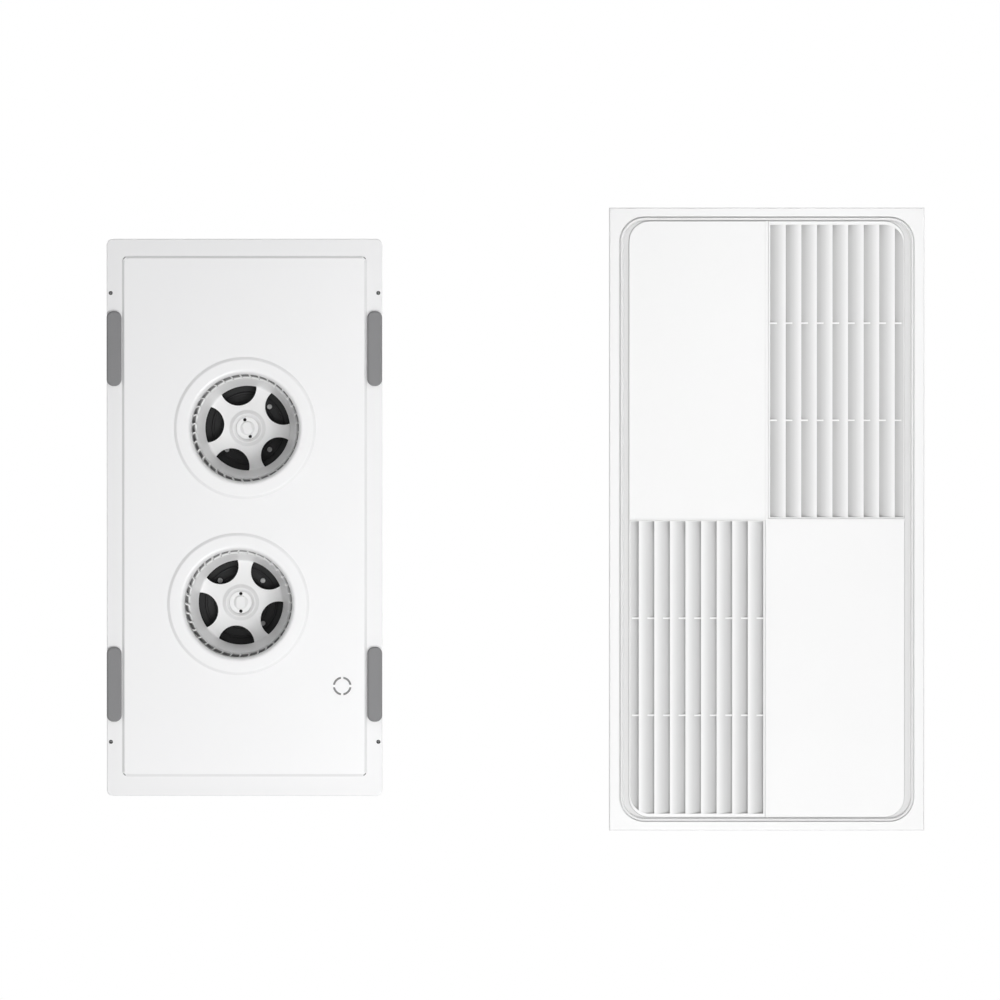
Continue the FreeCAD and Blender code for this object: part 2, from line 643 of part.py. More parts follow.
def motor_can():
    """A drawn cup over the stator, open at the plate, with a boss behind for the rear bush."""
    shell = rod(MOTOR_RADIUS, MOTOR_FRONT, MOTOR_BACK)
    rim = [edge for edge in shell.Edges if edge.BoundBox.YMin > MOTOR_BACK - 1 and len(edge.Vertexes) == 1]
    shell = shell.makeFillet(MOTOR_EDGE_ROUND, rim)
    shell = shell.fuse(rod(BEARING_BOSS_RADIUS, MOTOR_BACK - MOTOR_WALL, MOTOR_END))
    hollow = rod(MOTOR_RADIUS - MOTOR_WALL, MOTOR_FRONT - OVER, MOTOR_BACK - MOTOR_EDGE_ROUND)
    hollow = hollow.fuse(rod(MOTOR_RADIUS - MOTOR_EDGE_ROUND, MOTOR_FRONT, MOTOR_BACK - MOTOR_WALL))
    cuts = [hollow, rod(SHAFT_RADIUS + BUSH_WALL, MOTOR_BACK - 2 * MOTOR_WALL, MOTOR_END - MOTOR_WALL)]
    end = MOTOR_BACK - 2 * MOTOR_WALL, MOTOR_BACK + OVER
    cuts += [rod(SCREW_PILOT, *end, x, z) for x, z in motor_bolt_places()]
    return shell.cut(Part.makeCompound(cuts))


def motor_bolts():
    """Four through bolts, with their heads on the wheel's side of the plate."""
    bolts = []
    for x, z in motor_bolt_places():
        head = rod(MOTOR_BOLT_HEAD, HOUSING_BACK - SCREW_HEAD_HEIGHT, HOUSING_BACK, x, z)
        bolts.append(head.fuse(rod(SCREW_RADIUS, HOUSING_BACK, MOTOR_BACK, x, z)))
    return Part.makeCompound(bolts)


def front_bush():
    """A flanged sleeve in the motor plate."""
    sleeve = rod(SHAFT_RADIUS + BUSH_WALL, HOUSING_BACK, HOUSING_BACK + BUSH_LENGTH)
    sleeve = sleeve.fuse(rod(BUSH_FLANGE_RADIUS, MOTOR_FRONT, MOTOR_FRONT + BUSH_FLANGE))
    return sleeve.cut(rod(SHAFT_RADIUS + SHAFT_RUNNING, HOUSING_BACK - OVER, MOTOR_BACK))


def rear_bush():
    end = MOTOR_END - MOTOR_WALL
    return tube(SHAFT_RADIUS + BUSH_WALL, SHAFT_RADIUS + SHAFT_RUNNING, end - BUSH_LENGTH, end)


def scroll_housing():
    """Two mirrored scrolls in one moulding, with a shared wall between their outlets and a back wall."""
    depth = HOUSING_BACK - FIELD_BACK
    faces = [scroll_face(UPPER_X, UPPER_Z, 1), scroll_face(LOWER_X, LOWER_Z, -1)]
    outside = [face.makeOffset2D(SCROLL_WALL).extrude(V(0, depth, 0)) for face in faces]
    inside = [face.extrude(V(0, SCROLL_BACK - FIELD_BACK, 0)) for face in faces]
    shell = outside[0].fuse(outside[1])
    past = OUTLET_X - SCROLL_WALL - OVER
    shell = shell.cut(block(past, OUTLET_X, FIELD_BACK, HOUSING_BACK, -PLATE_HEIGHT, PLATE_HEIGHT))
    lugs = [rod(LUG_RADIUS, BOSS_TOP, BOSS_TOP + LUG_THICKNESS, x, z) for x, z in lug_places()]
    shell = joined(shell, lugs + [outlet_lip()] + motor_ribs())
    openings = rod(MOTOR_OPENING_RADIUS, SCROLL_BACK - OVER, HOUSING_BACK + OVER)
    cuts = inside + [upper(openings), lower(openings)]
    cuts += [rod(SCREW_PASS, BOSS_TOP - OVER, BOSS_TOP + LUG_THICKNESS + OVER, x, z) for x, z in lug_places()]
    wall = SCROLL_BACK - OVER, HOUSING_BACK + OVER
    pilots = [rod(SCREW_PILOT, *wall, x, z) for x, z in plate_screw_places()]
    cuts += [upper(pilot) for pilot in pilots] + [lower(pilot) for pilot in pilots]
    through = OUTLET_X - OVER, OUTLET_X + SCROLL_WALL + OVER
    cuts += [cross_rod(SCREW_PILOT, *through, y, z) for y, z in collar_screw_places()]
    cuts += [rod(SCREW_PILOT, *wall, x, z) for x, z in capacitor_screw_places()]
    return shell.cut(Part.makeCompound(cuts))


def motor_ribs():
    """A stiffening rib on the back wall round each motor plate."""
    inner = MOTOR_PLATE_RADIUS + RING_CLEARANCE
    rib = tube(inner + BACK_RIB_WIDTH, inner, HOUSING_BACK, HOUSING_BACK + BACK_RIB_HEIGHT)
    return [upper(rib), lower(rib)]


def outlet_lip():
    """The lip round three sides of the outlet, which the collar's base is screwed to."""
    reach = SCROLL_WALL + OUTLET_LIP
    x = OUTLET_X, OUTLET_X + SCROLL_WALL
    lip = block(*x, FIELD_BACK, HOUSING_BACK + OUTLET_LIP, OUTLET_BOTTOM - reach, OUTLET_TOP + reach)
    way = block(OUTLET_X - OVER, OUTLET_X + reach, FIELD_BACK - OVER, SCROLL_BACK, OUTLET_BOTTOM, OUTLET_TOP)
    return lip.cut(way)


def collar_screw_places():
    """Y and Z of the four screws in the outlet's lip."""
    reach = SCROLL_WALL + OUTLET_LIP / 2
    rows = OUTLET_BOTTOM - reach, OUTLET_TOP + reach
    return [(y, z) for y in (FIELD_BACK + OUTLET_LIP, SCROLL_BACK - OUTLET_LIP) for z in rows]


def collar_screws():
    screws = []
    for y, z in collar_screw_places():
        start = OUTLET_X - COLLAR_BASE
        head = cross_rod(SCREW_HEAD_RADIUS, start - SCREW_HEAD_HEIGHT, start, y, z)
        screws.append(head.fuse(cross_rod(SCREW_RADIUS, start, OUTLET_X + SCROLL_WALL, y, z)))
    return Part.makeCompound(screws)


def outlet_collar():
    """The round spigot for the duct, on a base that covers the outlet, with a seat for the flap."""
    base = OUTLET_X - COLLAR_BASE
    reach = SCROLL_WALL + OUTLET_LIP
    rows = OUTLET_BOTTOM - reach, OUTLET_TOP + reach
    foot = block(base, OUTLET_X, FIELD_BACK, HOUSING_BACK + OUTLET_LIP, *rows)
    foot = foot.fuse(cross_rod(COLLAR_RADIUS + COLLAR_HOOP, base, OUTLET_X, COLLAR_DEPTH, AXIS_MIDDLE))
    in_front = block(base - OVER, OUTLET_X + OVER, FIELD_BACK - COLLAR_RADIUS, FIELD_BACK, *rows)
    foot = foot.cut(in_front)
    spigot = cross_rod(COLLAR_RADIUS, COLLAR_END_X, base, COLLAR_DEPTH, AXIS_MIDDLE)
    bore = cross_rod(COLLAR_BORE, COLLAR_END_X - OVER, base, COLLAR_DEPTH, AXIS_MIDDLE)
    way = block(base - OVER, OUTLET_X + OVER, FIELD_BACK, SCROLL_BACK, OUTLET_BOTTOM, OUTLET_TOP)
    way = way.common(cross_rod(COLLAR_BORE, base - OVER, OUTLET_X + OVER, COLLAR_DEPTH, AXIS_MIDDLE))
    collar = foot.cut(way).fuse([spigot.cut(bore), flap_seat()])
    cuts = [cross_rod(SCREW_PASS, base - OVER, OUTLET_X + OVER, y, z) for y, z in collar_screw_places()]
    cuts.append(pivot_rod(PIN_RADIUS, COLLAR_RADIUS))
    return collar.cut(Part.makeCompound(cuts))


def flap_seat():
    """A ledge on the fan's side of the flap, clear of the part that swings inwards."""
    start = FLAP_X + FLAP_WALL / 2 + SEAT_GAP
    ends = start, start + SEAT_THICKNESS
    ring = cross_rod(COLLAR_BORE + COLLAR_WALL / 2, *ends, COLLAR_DEPTH, AXIS_MIDDLE)
    ring = ring.cut(cross_rod(COLLAR_BORE - SEAT_WIDTH, *ends, COLLAR_DEPTH, AXIS_MIDDLE))
    reach = 2 * COLLAR_RADIUS
    rows = AXIS_MIDDLE - reach, AXIS_MIDDLE + reach
    swept = block(*ends, FLAP_PIVOT - SEAT_BELOW_PIVOT, FLAP_PIVOT + reach, *rows)
    return ring.cut(swept)


def pivot_rod(radius, half):
    """A cylinder on the flap's pivot, centred on the collar."""
    return Part.makeCylinder(radius, 2 * half, V(FLAP_X, FLAP_PIVOT, AXIS_MIDDLE - half), V(0, 0, 1))


def damper_pin():
    half = math.sqrt(COLLAR_RADIUS ** 2 - (FLAP_PIVOT_OFFSET + PIN_RADIUS) ** 2)
    return pivot_rod(PIN_RADIUS, half)


def damper_flap():
    """A light disc that hangs in the collar from a knuckle above its middle."""
    sides = FLAP_X - FLAP_WALL / 2, FLAP_X + FLAP_WALL / 2
    disc = cross_rod(COLLAR_BORE - FLAP_CLEARANCE, *sides, COLLAR_DEPTH, AXIS_MIDDLE)
    flap = disc.fuse(pivot_rod(FLAP_KNUCKLE_RADIUS, FLAP_KNUCKLE_HALF))
    return flap.cut(pivot_rod(PIN_RADIUS + PIN_RUNNING, COLLAR_RADIUS))


def housing_screws():
    return Part.makeCompound([back_screw(x, z, BOSS_TOP + LUG_THICKNESS) for x, z in lug_places()])


def terminal_box_screws():
    return Part.makeCompound([back_screw(x, z, BOSS_TOP + LUG_THICKNESS) for x, z in box_lug_places()])


def cover_screw_places():
    x = BOX_WIDTH / 2 - BOX_WALL - COVER_BOSS_RADIUS / 2
    z = BOX_HEIGHT / 2 - BOX_WALL - COVER_BOSS_RADIUS / 2
    return [(KNOCKOUT_X - x, KNOCKOUT_Z + z), (KNOCKOUT_X + x, KNOCKOUT_Z - z)]


def terminal_box():
    """A box behind the knock-out, open at the back, with two fixing lugs and two bosses for its cover."""
    end = FIELD_BACK + BOX_DEPTH
    body = rounded_block(BOX_WIDTH / 2, BOX_HEIGHT / 2, BOX_CORNER, FIELD_BACK, end)
    wall = BOX_WALL
    size = BOX_WIDTH / 2 - wall, BOX_HEIGHT / 2 - wall, BOX_CORNER - wall
    inside = rounded_block(*size, FIELD_BACK + wall, end + OVER)
    inside = inside.fuse(rod(BOX_ENTRY_RADIUS, FIELD_BACK - OVER, FIELD_BACK + 2 * wall))
    body = moved(body.cut(inside), KNOCKOUT_X, 0, KNOCKOUT_Z)
    floor = FIELD_BACK + wall
    bosses = [rod(COVER_BOSS_RADIUS, floor, end, x, z) for x, z in cover_screw_places()]
    shell = rounded_block(BOX_WIDTH / 2, BOX_HEIGHT / 2, BOX_CORNER, FIELD_BACK, end)
    bosses = [boss.common(moved(shell, KNOCKOUT_X, 0, KNOCKOUT_Z)) for boss in bosses]
    lugs = []
    for x, z in box_lug_places():
        lug = rod(LUG_RADIUS, BOSS_TOP, BOSS_TOP + LUG_THICKNESS, x, z)
        toward = KNOCKOUT_Z - z
        web = block(x - LUG_RADIUS, x + LUG_RADIUS, BOSS_TOP, BOSS_TOP + LUG_THICKNESS, z, z + toward)
        lugs.append(lug.fuse(web).cut(moved(inside, KNOCKOUT_X, 0, KNOCKOUT_Z)))
    body = joined(body, bosses + lugs)
    lug = BOSS_TOP - OVER, BOSS_TOP + LUG_THICKNESS + OVER
    cuts = [rod(SCREW_PASS, *lug, x, z) for x, z in box_lug_places()]
    cuts += [rod(SCREW_PILOT, end - SCREW_GRIP, end + OVER, x, z) for x, z in cover_screw_places()]
    cuts.append(gland_rod(GLAND_RADIUS, -BOX_WALL - OVER, OVER))
    return body.cut(Part.makeCompound(cuts))


def gland_rod(radius, start, end):
    """A cylinder on the gland's axis; start and end are measured out from the box's right side."""
    x = KNOCKOUT_X + BOX_WIDTH / 2
    return cross_rod(radius, x + start, x + end, FIELD_BACK + BOX_DEPTH / 2, KNOCKOUT_Z)


def cable_gland():
    """A cable gland through the box's side wall, with its nut outside and a flat ring inside."""
    inner_end = -BOX_WALL - GLAND_RING
    gland = gland_rod(GLAND_RADIUS, inner_end, GLAND_LENGTH)
    nut = gland_rod(GLAND_NUT_RADIUS, 0, GLAND_NUT)
    ring = gland_rod(GLAND_NUT_RADIUS, inner_end, -BOX_WALL)
    return gland.fuse([nut, ring]).cut(gland_rod(GLAND_BORE, inner_end - OVER, GLAND_LENGTH + OVER))


def terminal_cover():
    end = FIELD_BACK + BOX_DEPTH
    cover = rounded_block(BOX_WIDTH / 2, BOX_HEIGHT / 2, BOX_CORNER, end, end + COVER_THICKNESS)
    cover = moved(cover, KNOCKOUT_X, 0, KNOCKOUT_Z)
    holes = [rod(SCREW_PASS, end - OVER, end + COVER_THICKNESS + OVER, x, z) for x, z in cover_screw_places()]
    return cover.cut(Part.makeCompound(holes))


def cover_screws():
    seat = FIELD_BACK + BOX_DEPTH + COVER_THICKNESS
    return Part.makeCompound([back_screw(x, z, seat) for x, z in cover_screw_places()])


def terminal_block():
    """A three-way connector block on the box's floor, with a wire bore and a screw well for each way."""
    floor = FIELD_BACK + BOX_WALL
    z = KNOCKOUT_Z + BOX_HEIGHT / 2 - BLOCK_FROM_EDGE
    half = BLOCK_LENGTH / 2
    rows = z - BLOCK_WIDTH / 2, z + BLOCK_WIDTH / 2
    body = block(KNOCKOUT_X - half, KNOCKOUT_X + half, floor, floor + BLOCK_HEIGHT, *rows)
    pitch = BLOCK_LENGTH / BLOCK_WAYS
    cuts = []
    for way in range(BLOCK_WAYS):
        x = KNOCKOUT_X + (way - (BLOCK_WAYS - 1) / 2) * pitch
        start = V(x, floor + BLOCK_HEIGHT / 3, rows[0] - OVER)
        cuts.append(Part.makeCylinder(BLOCK_BORE, BLOCK_WIDTH + 2 * OVER, start, V(0, 0, 1)))
        cuts.append(rod(BLOCK_BORE, floor + BLOCK_HEIGHT / 2, floor + BLOCK_HEIGHT + OVER, x, z))
    return body.cut(Part.makeCompound(cuts))


def capacitor_places():
    return [(CAPACITOR_X, AXIS_MIDDLE + side * CAPACITOR_SPACING / 2) for side in (1, -1)]


def capacitor_screw_places():
    reach = CAPACITOR_LENGTH / 2 + CAPACITOR_EAR / 2
    return [(x + reach, z) for x, z in capacitor_places()]


def capacitor(index):
    """A run capacitor on the housing's back wall, with one fixing ear."""
    x, z = capacitor_places()[index]
    size = CAPACITOR_LENGTH / 2, CAPACITOR_WIDTH / 2, CAPACITOR_ROUND
    body = moved(rounded_block(*size, HOUSING_BACK, HOUSING_BACK + CAPACITOR_HEIGHT), x, 0, z)
    ear_end = x + CAPACITOR_LENGTH / 2 + CAPACITOR_EAR
    half = CAPACITOR_WIDTH / 2 - CAPACITOR_ROUND
    ear = block(x, ear_end, HOUSING_BACK, HOUSING_BACK + CAPACITOR_EAR_WALL, z - half, z + half)
    sx, sz = capacitor_screw_places()[index]
    hole = rod(SCREW_PASS, HOUSING_BACK - OVER, HOUSING_BACK + CAPACITOR_EAR_WALL + OVER, sx, sz)
    return body.fuse(ear).cut(hole)


def capacitor_screws():
    seat = HOUSING_BACK + CAPACITOR_EAR_WALL
    grip = CAPACITOR_EAR_WALL + SCROLL_WALL
    return Part.makeCompound([back_screw(x, z, seat, grip) for x, z in capacitor_screw_places()])


def front(height):
    """The depth of a point at this height over the panel's back, with the panel on its magnets."""
    return PANEL_SEAT - height


def panel_slab(half_width, half_height, corner, low, high):
    return rounded_block(half_width, half_height, corner, front(high), front(low))


def panel_bar(x0, x1, low, high, z0, z1):
    return block(x0, x1, front(high), front(low), z0, z1)


def panel_frame():
    """The moulded frame: skirt, border with a bead, side channels, mullions and ledges for the inserts."""
    w, h = PANEL_WIDTH / 2, PANEL_HEIGHT / 2
    fw, fh, fc = PANEL_FIELD_HALF_WIDTH, PANEL_FIELD_HALF_HEIGHT, PANEL_FIELD_CORNER
    top = PANEL_THICKNESS
    frame = panel_bar(-w, w, 0, top, -h, h)
    edges = [edge for edge in frame.Edges if edge.BoundBox.YMax < front(top - PANEL_EDGE_ROUND)]
    frame = frame.makeFillet(PANEL_EDGE_ROUND, edges)
    rows = PANEL_SKIRT - h, h - PANEL_SKIRT
    hollow = panel_bar(PANEL_SKIRT - w, w - PANEL_SKIRT, -OVER, top - PANEL_SKIN, *rows)
    under_bead = BEAD_HALF_WIDTH + PANEL_SKIRT, BEAD_HALF_HEIGHT + PANEL_SKIRT, BEAD_CORNER + PANEL_SKIRT
    hollow = hollow.cut(panel_slab(*under_bead, -2 * OVER, top))
    field = panel_slab(fw, fh, fc, LEDGE_THICKNESS, top + OVER)
    channels = panel_slab(fw + CHANNEL_WIDTH, fh, fc, top - CHANNEL_DEPTH, top + OVER)
    groove = bead_ring(0, BEAD_WIDTH, top - BEAD_GROOVE, top + OVER)
    frame = frame.cut(Part.makeCompound([hollow, groove]).fuse(field).fuse(channels))
    side = (BEAD_WIDTH - BEAD_CREST) / 2
    crest = bead_ring(side, BEAD_WIDTH - side, top - BEAD_GROOVE, top)
    inner = BEAD_WIDTH - side
    rise = top + BEAD_RISE
    cap = Part.makeLoft([bead_wire(side, top), bead_wire(side + BEAD_RISE, rise)], True, True)
    cap = cap.cut(Part.makeLoft([bead_wire(inner, top), bead_wire(inner - BEAD_RISE, rise)], True, True))
    upright = panel_bar(-MULLION_UPRIGHT / 2, MULLION_UPRIGHT / 2, LEDGE_THICKNESS, MULLION_TOP, -fh, fh)
    cross = panel_bar(-fw, fw, LEDGE_THICKNESS, MULLION_TOP, -MULLION_CROSS / 2, MULLION_CROSS / 2)
    frame = joined(frame, [crest, cap, upright, cross])
    cuts = [keeper(side, end, PANEL_GAP / 2) for side in (-1, 1) for end in (-1, 1)]
    for across in (-1, 1):
        for along in (-1, 1):
            x = across * LEDGE_MIDDLE, across * (fw - LEDGE_SIDE)
            z = along * LEDGE_MIDDLE, along * (fh - LEDGE_END)
            cuts.append(panel_bar(*x, -OVER, LEDGE_THICKNESS + OVER, *z))
    return frame.cut(Part.makeCompound(cuts))


def bead_wire(inset, height):
    sizes = BEAD_HALF_WIDTH - inset, BEAD_HALF_HEIGHT - inset, BEAD_CORNER - inset
    return rounded_wire(*sizes, front(height))


def bead_ring(outer_inset, inner_inset, low, high):
    """A ring that follows the bead, between two insets from its outer edge."""
    outer = Part.Face(bead_wire(outer_inset, low)).extrude(V(0, low - high, 0))
    inner = Part.Face(bead_wire(inner_inset, low - OVER)).extrude(V(0, low - high - 2 * OVER, 0))
    return outer.cut(inner)


def keeper(side, end, allowance=0.0):
    """A steel strip let into the panel's back, opposite a magnet pad."""
    strip = block(-KEEPER_WIDTH / 2 - allowance, KEEPER_WIDTH / 2 + allowance, front(KEEPER_THICKNESS),
                  front(-allowance), -KEEPER_LENGTH / 2 - allowance, KEEPER_LENGTH / 2 + allowance)
    return moved(strip, side * PAD_ACROSS, 0, end * PAD_UP)


def insert_space(low, high, inset=0.0):
    """The room for an insert in the upper right quarter of the panel's field."""
    gap = INSERT_CLEARANCE + inset
    size = PANEL_FIELD_HALF_WIDTH - gap, PANEL_FIELD_HALF_HEIGHT - gap, PANEL_FIELD_CORNER - gap
    outline = panel_slab(*size, low, high)
    x = MULLION_UPRIGHT / 2 + gap
    z = MULLION_CROSS / 2 + gap
    return outline.common(panel_bar(x, PANEL_WIDTH, low, high, z, PANEL_HEIGHT))


def blank_plate():
    """A plain plate with a wall down to the ledges, made for the lower right quarter."""
    lid = insert_space(LEDGE_THICKNESS, PANEL_THICKNESS)
    lid = lid.cut(insert_space(LEDGE_THICKNESS - OVER, PANEL_THICKNESS - BLANK_SKIN, BLANK_WALL))
    return lid.mirror(ORIGIN, V(0, 0, 1))


def slat(x, length):
    """One curved slat: steep at its deep edge and level at its front edge, a pitch further on."""
    sides = []
    for low, high in ((SLAT_DEEP, SLAT_FRONT - SLAT_WALL), (SLAT_DEEP + SLAT_WALL, SLAT_FRONT)):
        crown = low + SLAT_CROWN * (high - low)
        places = [(x, low), (x + SLAT_PITCH / 2, crown), (x + SLAT_PITCH, high)]
        sides.append([V(across, front(height), 0) for across, height in places])
    back, face = sides
    heel = [V(x - SLAT_UNDERLAP, front(height), 0) for height in (SLAT_DEEP + SLAT_WALL, SLAT_DEEP)]
    corners = [face[0], *heel, back[0]]
    edges = [Part.LineSegment(a, b).toShape() for a, b in zip(corners, corners[1:])]
    edges += [Part.Arc(*back).toShape(), Part.LineSegment(back[-1], face[-1]).toShape()]
    edges.append(Part.Arc(*reversed(face)).toShape())
    return Part.Face(Part.Wire(edges)).extrude(V(0, 0, length))


def louvre():
    """The upper right louvre: a rim, upright slats that hide what is behind, and two ties."""
    rim = insert_space(LEDGE_THICKNESS, SLAT_FRONT)
    opening = insert_space(LEDGE_THICKNESS - OVER, SLAT_FRONT + OVER, LOUVRE_RIM_OUTER)
    start = MULLION_UPRIGHT / 2 + INSERT_CLEARANCE + LOUVRE_RIM_MIDDLE
    opening = opening.cut(panel_bar(0, start, -OVER, PANEL_THICKNESS + OVER, 0, PANEL_HEIGHT))
    grid = []
    count = math.ceil((PANEL_FIELD_HALF_WIDTH - start) / SLAT_PITCH)
    for index in range(count):
        grid.append(slat(start + index * SLAT_PITCH, PANEL_FIELD_HALF_HEIGHT))
    for height in (TIE_LOW, TIE_HIGH):
        rows = height, height + TIE_WIDTH
        grid.append(panel_bar(0, PANEL_FIELD_HALF_WIDTH, LEDGE_THICKNESS, TIE_FRONT, *rows))
    bars = [bar.common(insert_space(LEDGE_THICKNESS, SLAT_FRONT)) for bar in grid]
    return rim.cut(opening).multiFuse(bars)


def half_turned(shape):
    """The same insert in the opposite quarter of the panel."""
    return spun(shape, 180)


def build_nodes():
    nodes = {"face_plate": face_plate(), "scroll_housing": scroll_housing(), "outlet_collar": outlet_collar()}
    nodes["foam_seal"] = foam_seal()
    nodes["damper_flap"] = damper_flap()
    nodes["damper_pin"] = damper_pin()
    places = {"upper": (upper, 1, UPPER_SPOKE_ANGLE), "lower": (lower, -1, LOWER_SPOKE_ANGLE)}
    for name, (place, hand, angle) in places.items():
        nodes["inlet_ring_" + name] = place(inlet_ring())
        nodes["fan_wheel_" + name] = place(wheel(hand, angle))
        nodes["wheel_nut_" + name] = place(wheel_nut(angle))
        nodes["motor_shaft_" + name] = place(motor_shaft())
        nodes["rotor_" + name] = place(rotor())
        nodes["stator_" + name] = place(stator())
        nodes["motor_plate_" + name] = place(motor_plate())
        nodes["motor_can_" + name] = place(motor_can())
        nodes["motor_bolts_" + name] = place(motor_bolts())
        nodes["motor_plate_screws_" + name] = place(motor_plate_screws())
        nodes["front_bush_" + name] = place(front_bush())
        nodes["rear_bush_" + name] = place(rear_bush())
    nodes["capacitor_upper"] = capacitor(0)
    nodes["capacitor_lower"] = capacitor(1)
    nodes["capacitor_screws"] = capacitor_screws()
    nodes["housing_screws"] = housing_screws()
    nodes["collar_screws"] = collar_screws()
    nodes["terminal_box"] = terminal_box()
    nodes["terminal_box_screws"] = terminal_box_screws()
    nodes["terminal_cover"] = terminal_cover()
    nodes["cover_screws"] = cover_screws()
    nodes["terminal_block"] = terminal_block()
    nodes["cable_gland"] = cable_gland()
    nodes.update(panel_nodes())
    for across, side in (("left", -1), ("right", 1)):
        for along, end in (("upper", 1), ("lower", -1)):
            nodes["magnet_pad_" + along + "_" + across] = magnet_pad(side, end)
    return nodes


def panel_nodes():
    """The pieces of the front panel, made on the magnets and then set aside as photographed."""
    nodes = {"panel_frame": panel_frame(), "louvre_upper": louvre(), "blank_lower": blank_plate()}
    nodes["louvre_lower"] = half_turned(nodes["louvre_upper"])
    nodes["blank_upper"] = half_turned(nodes["blank_lower"])
    for across, side in (("left", -1), ("right", 1)):
        for along, end in (("upper", 1), ("lower", -1)):
            nodes["keeper_" + along + "_" + across] = keeper(side, end)
    return {name: moved(shape, *PANEL_PLACE) for name, shape in nodes.items()}


os.makedirs("parts", exist_ok=True)
for name, shape in build_nodes().items():
    shape.exportStep("parts/" + name + ".step")
    print(name, len(shape.Solids), "solids", round(shape.Volume), "cubic mm")
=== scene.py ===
# %% [markdown]
# # A recessed exhaust fan and its louvre panel
# The fan sits behind a ceiling tile: a white plate with two bell mouths, a bladed wheel and a motor behind
# each, and a scroll housing that blows both wheels' air into one duct collar. Its louvre panel is held by
# magnets, and here it is taken off and set to the right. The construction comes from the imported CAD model.
# This file gives it its finish.

# %% Load the frame
import json
import math

import bmesh
import bpy
from mathutils import Matrix, Vector


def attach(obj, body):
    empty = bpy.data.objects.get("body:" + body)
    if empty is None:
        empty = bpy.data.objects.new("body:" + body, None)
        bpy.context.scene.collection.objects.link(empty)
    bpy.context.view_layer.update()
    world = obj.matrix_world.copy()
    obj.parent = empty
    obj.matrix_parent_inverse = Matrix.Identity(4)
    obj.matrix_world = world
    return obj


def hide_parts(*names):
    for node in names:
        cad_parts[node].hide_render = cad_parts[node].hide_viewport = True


MM = 0.001
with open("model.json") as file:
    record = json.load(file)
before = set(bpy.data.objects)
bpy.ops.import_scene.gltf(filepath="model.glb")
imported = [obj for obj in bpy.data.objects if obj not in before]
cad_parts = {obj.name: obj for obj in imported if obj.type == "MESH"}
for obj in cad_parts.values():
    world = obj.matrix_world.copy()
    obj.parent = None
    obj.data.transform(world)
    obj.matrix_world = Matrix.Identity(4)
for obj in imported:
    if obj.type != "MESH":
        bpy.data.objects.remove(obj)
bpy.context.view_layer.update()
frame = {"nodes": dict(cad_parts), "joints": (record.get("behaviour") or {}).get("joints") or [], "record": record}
record = frame["record"]

# %% [markdown]
# ## Camera
# The photograph looks straight at both faces from far off, so parallel edges stay parallel. A long lens
# several metres away does the same. The panel, which is set nearer the camera, comes out slightly larger and
# lower, as it does there, because the camera stands a hand's breadth above the middle and looks down by half
# a degree.

# %% Camera
LEVEL, ASIDE, RAISED, AWAY = 17.1 * MM, 250.4 * MM, 60 * MM, 6.504
SENSOR, LENS, SIGHT = 36, 238.8, 100


def placed(name, data):
    """A new object in the scene."""
    made = bpy.data.objects.new(name, data)
    bpy.context.scene.collection.objects.link(made)
    return made


camera = placed("camera", bpy.data.cameras.new("camera"))
camera.location = (ASIDE, -AWAY, LEVEL + RAISED)
camera.rotation_euler = (math.radians(90) - math.atan2(RAISED, AWAY), 0, 0)
camera.data.sensor_width = SENSOR
camera.data.lens = LENS
camera.data.clip_end = SIGHT
bpy.context.scene.camera = camera
print("camera at", tuple(camera.location))

# %% [markdown]
# ## Shader maths
# A finish is a sum of patterns. Written as Python, such a sum is easier to read than a list of nodes and
# links, so one small class wraps a socket: arithmetic on it adds Math nodes, and its one method adds any
# other node.


# %% A socket that can be reckoned with
class Wire:
    """An output socket of a node tree."""

    def __init__(self, tree, socket=None):
        self.tree = tree
        self.socket = socket

    def node(self, kind, out=0, settings=None, **inputs):
        """Adds a node: its settings first, then values or links for its sockets.
        A socket goes by its name, or by its place as i0, i1 and so on."""
        made = self.tree.nodes.new(kind)
        for name, value in (settings or {}).items():
            if name == "stops":
                ramp = made.color_ramp.elements
                for place, (position, colour) in enumerate(value):
                    stop = ramp[place] if place < len(ramp) else ramp.new(position)
                    stop.position = position
                    stop.color = (*colour, 1)
            else:
                setattr(made, name, value)
        for name, value in inputs.items():
            socket = made.inputs[int(name[1:]) if name[1:].isdigit() else name.replace("_", " ")]
            if isinstance(value, Wire):
                self.tree.links.new(value.socket, socket)
            else:
                socket.default_value = value
        return Wire(self.tree, made.outputs[out])

    def maths(self, operation, *values):
        inputs = {f"i{place}": value for place, value in enumerate(values)}
        return self.node("ShaderNodeMath", settings={"operation": operation}, **inputs)

    def __add__(self, other):
        return self.maths("ADD", self, other)

    def __sub__(self, other):
        return self.maths("SUBTRACT", self, other)

    def __rsub__(self, other):
        return self.maths("SUBTRACT", other, self)

    def __mul__(self, other):
        return self.maths("MULTIPLY", self, other)

    def __truediv__(self, other):
        return self.maths("DIVIDE", self, other)

    def __rtruediv__(self, other):
        return self.maths("DIVIDE", other, self)

    def __pow__(self, other):
        return self.maths("POWER", self, other)

    __radd__ = __add__
    __rmul__ = __mul__


def tinted(wire, factor, first, second):
    """A colour between two others, by a factor from 0 to 1. Each is a wire or three numbers."""
    first, second = (each if isinstance(each, Wire) else (*each, 1) for each in (first, second))
    return wire.node("ShaderNodeMix", 2, {"data_type": "RGBA"}, i0=factor, i6=first, i7=second)


def new_finish(name):
    """An empty material, with its Principled shader and a wire to build on."""
    material = bpy.data.materials.new(name)
    material.use_nodes = True
    return material, material.node_tree.nodes["Principled BSDF"], Wire(material.node_tree)


def link(wire, shader, socket):
    """Feeds a wire to one of a shader's sockets."""
    wire.tree.links.new(wire.socket, shader.inputs[socket])


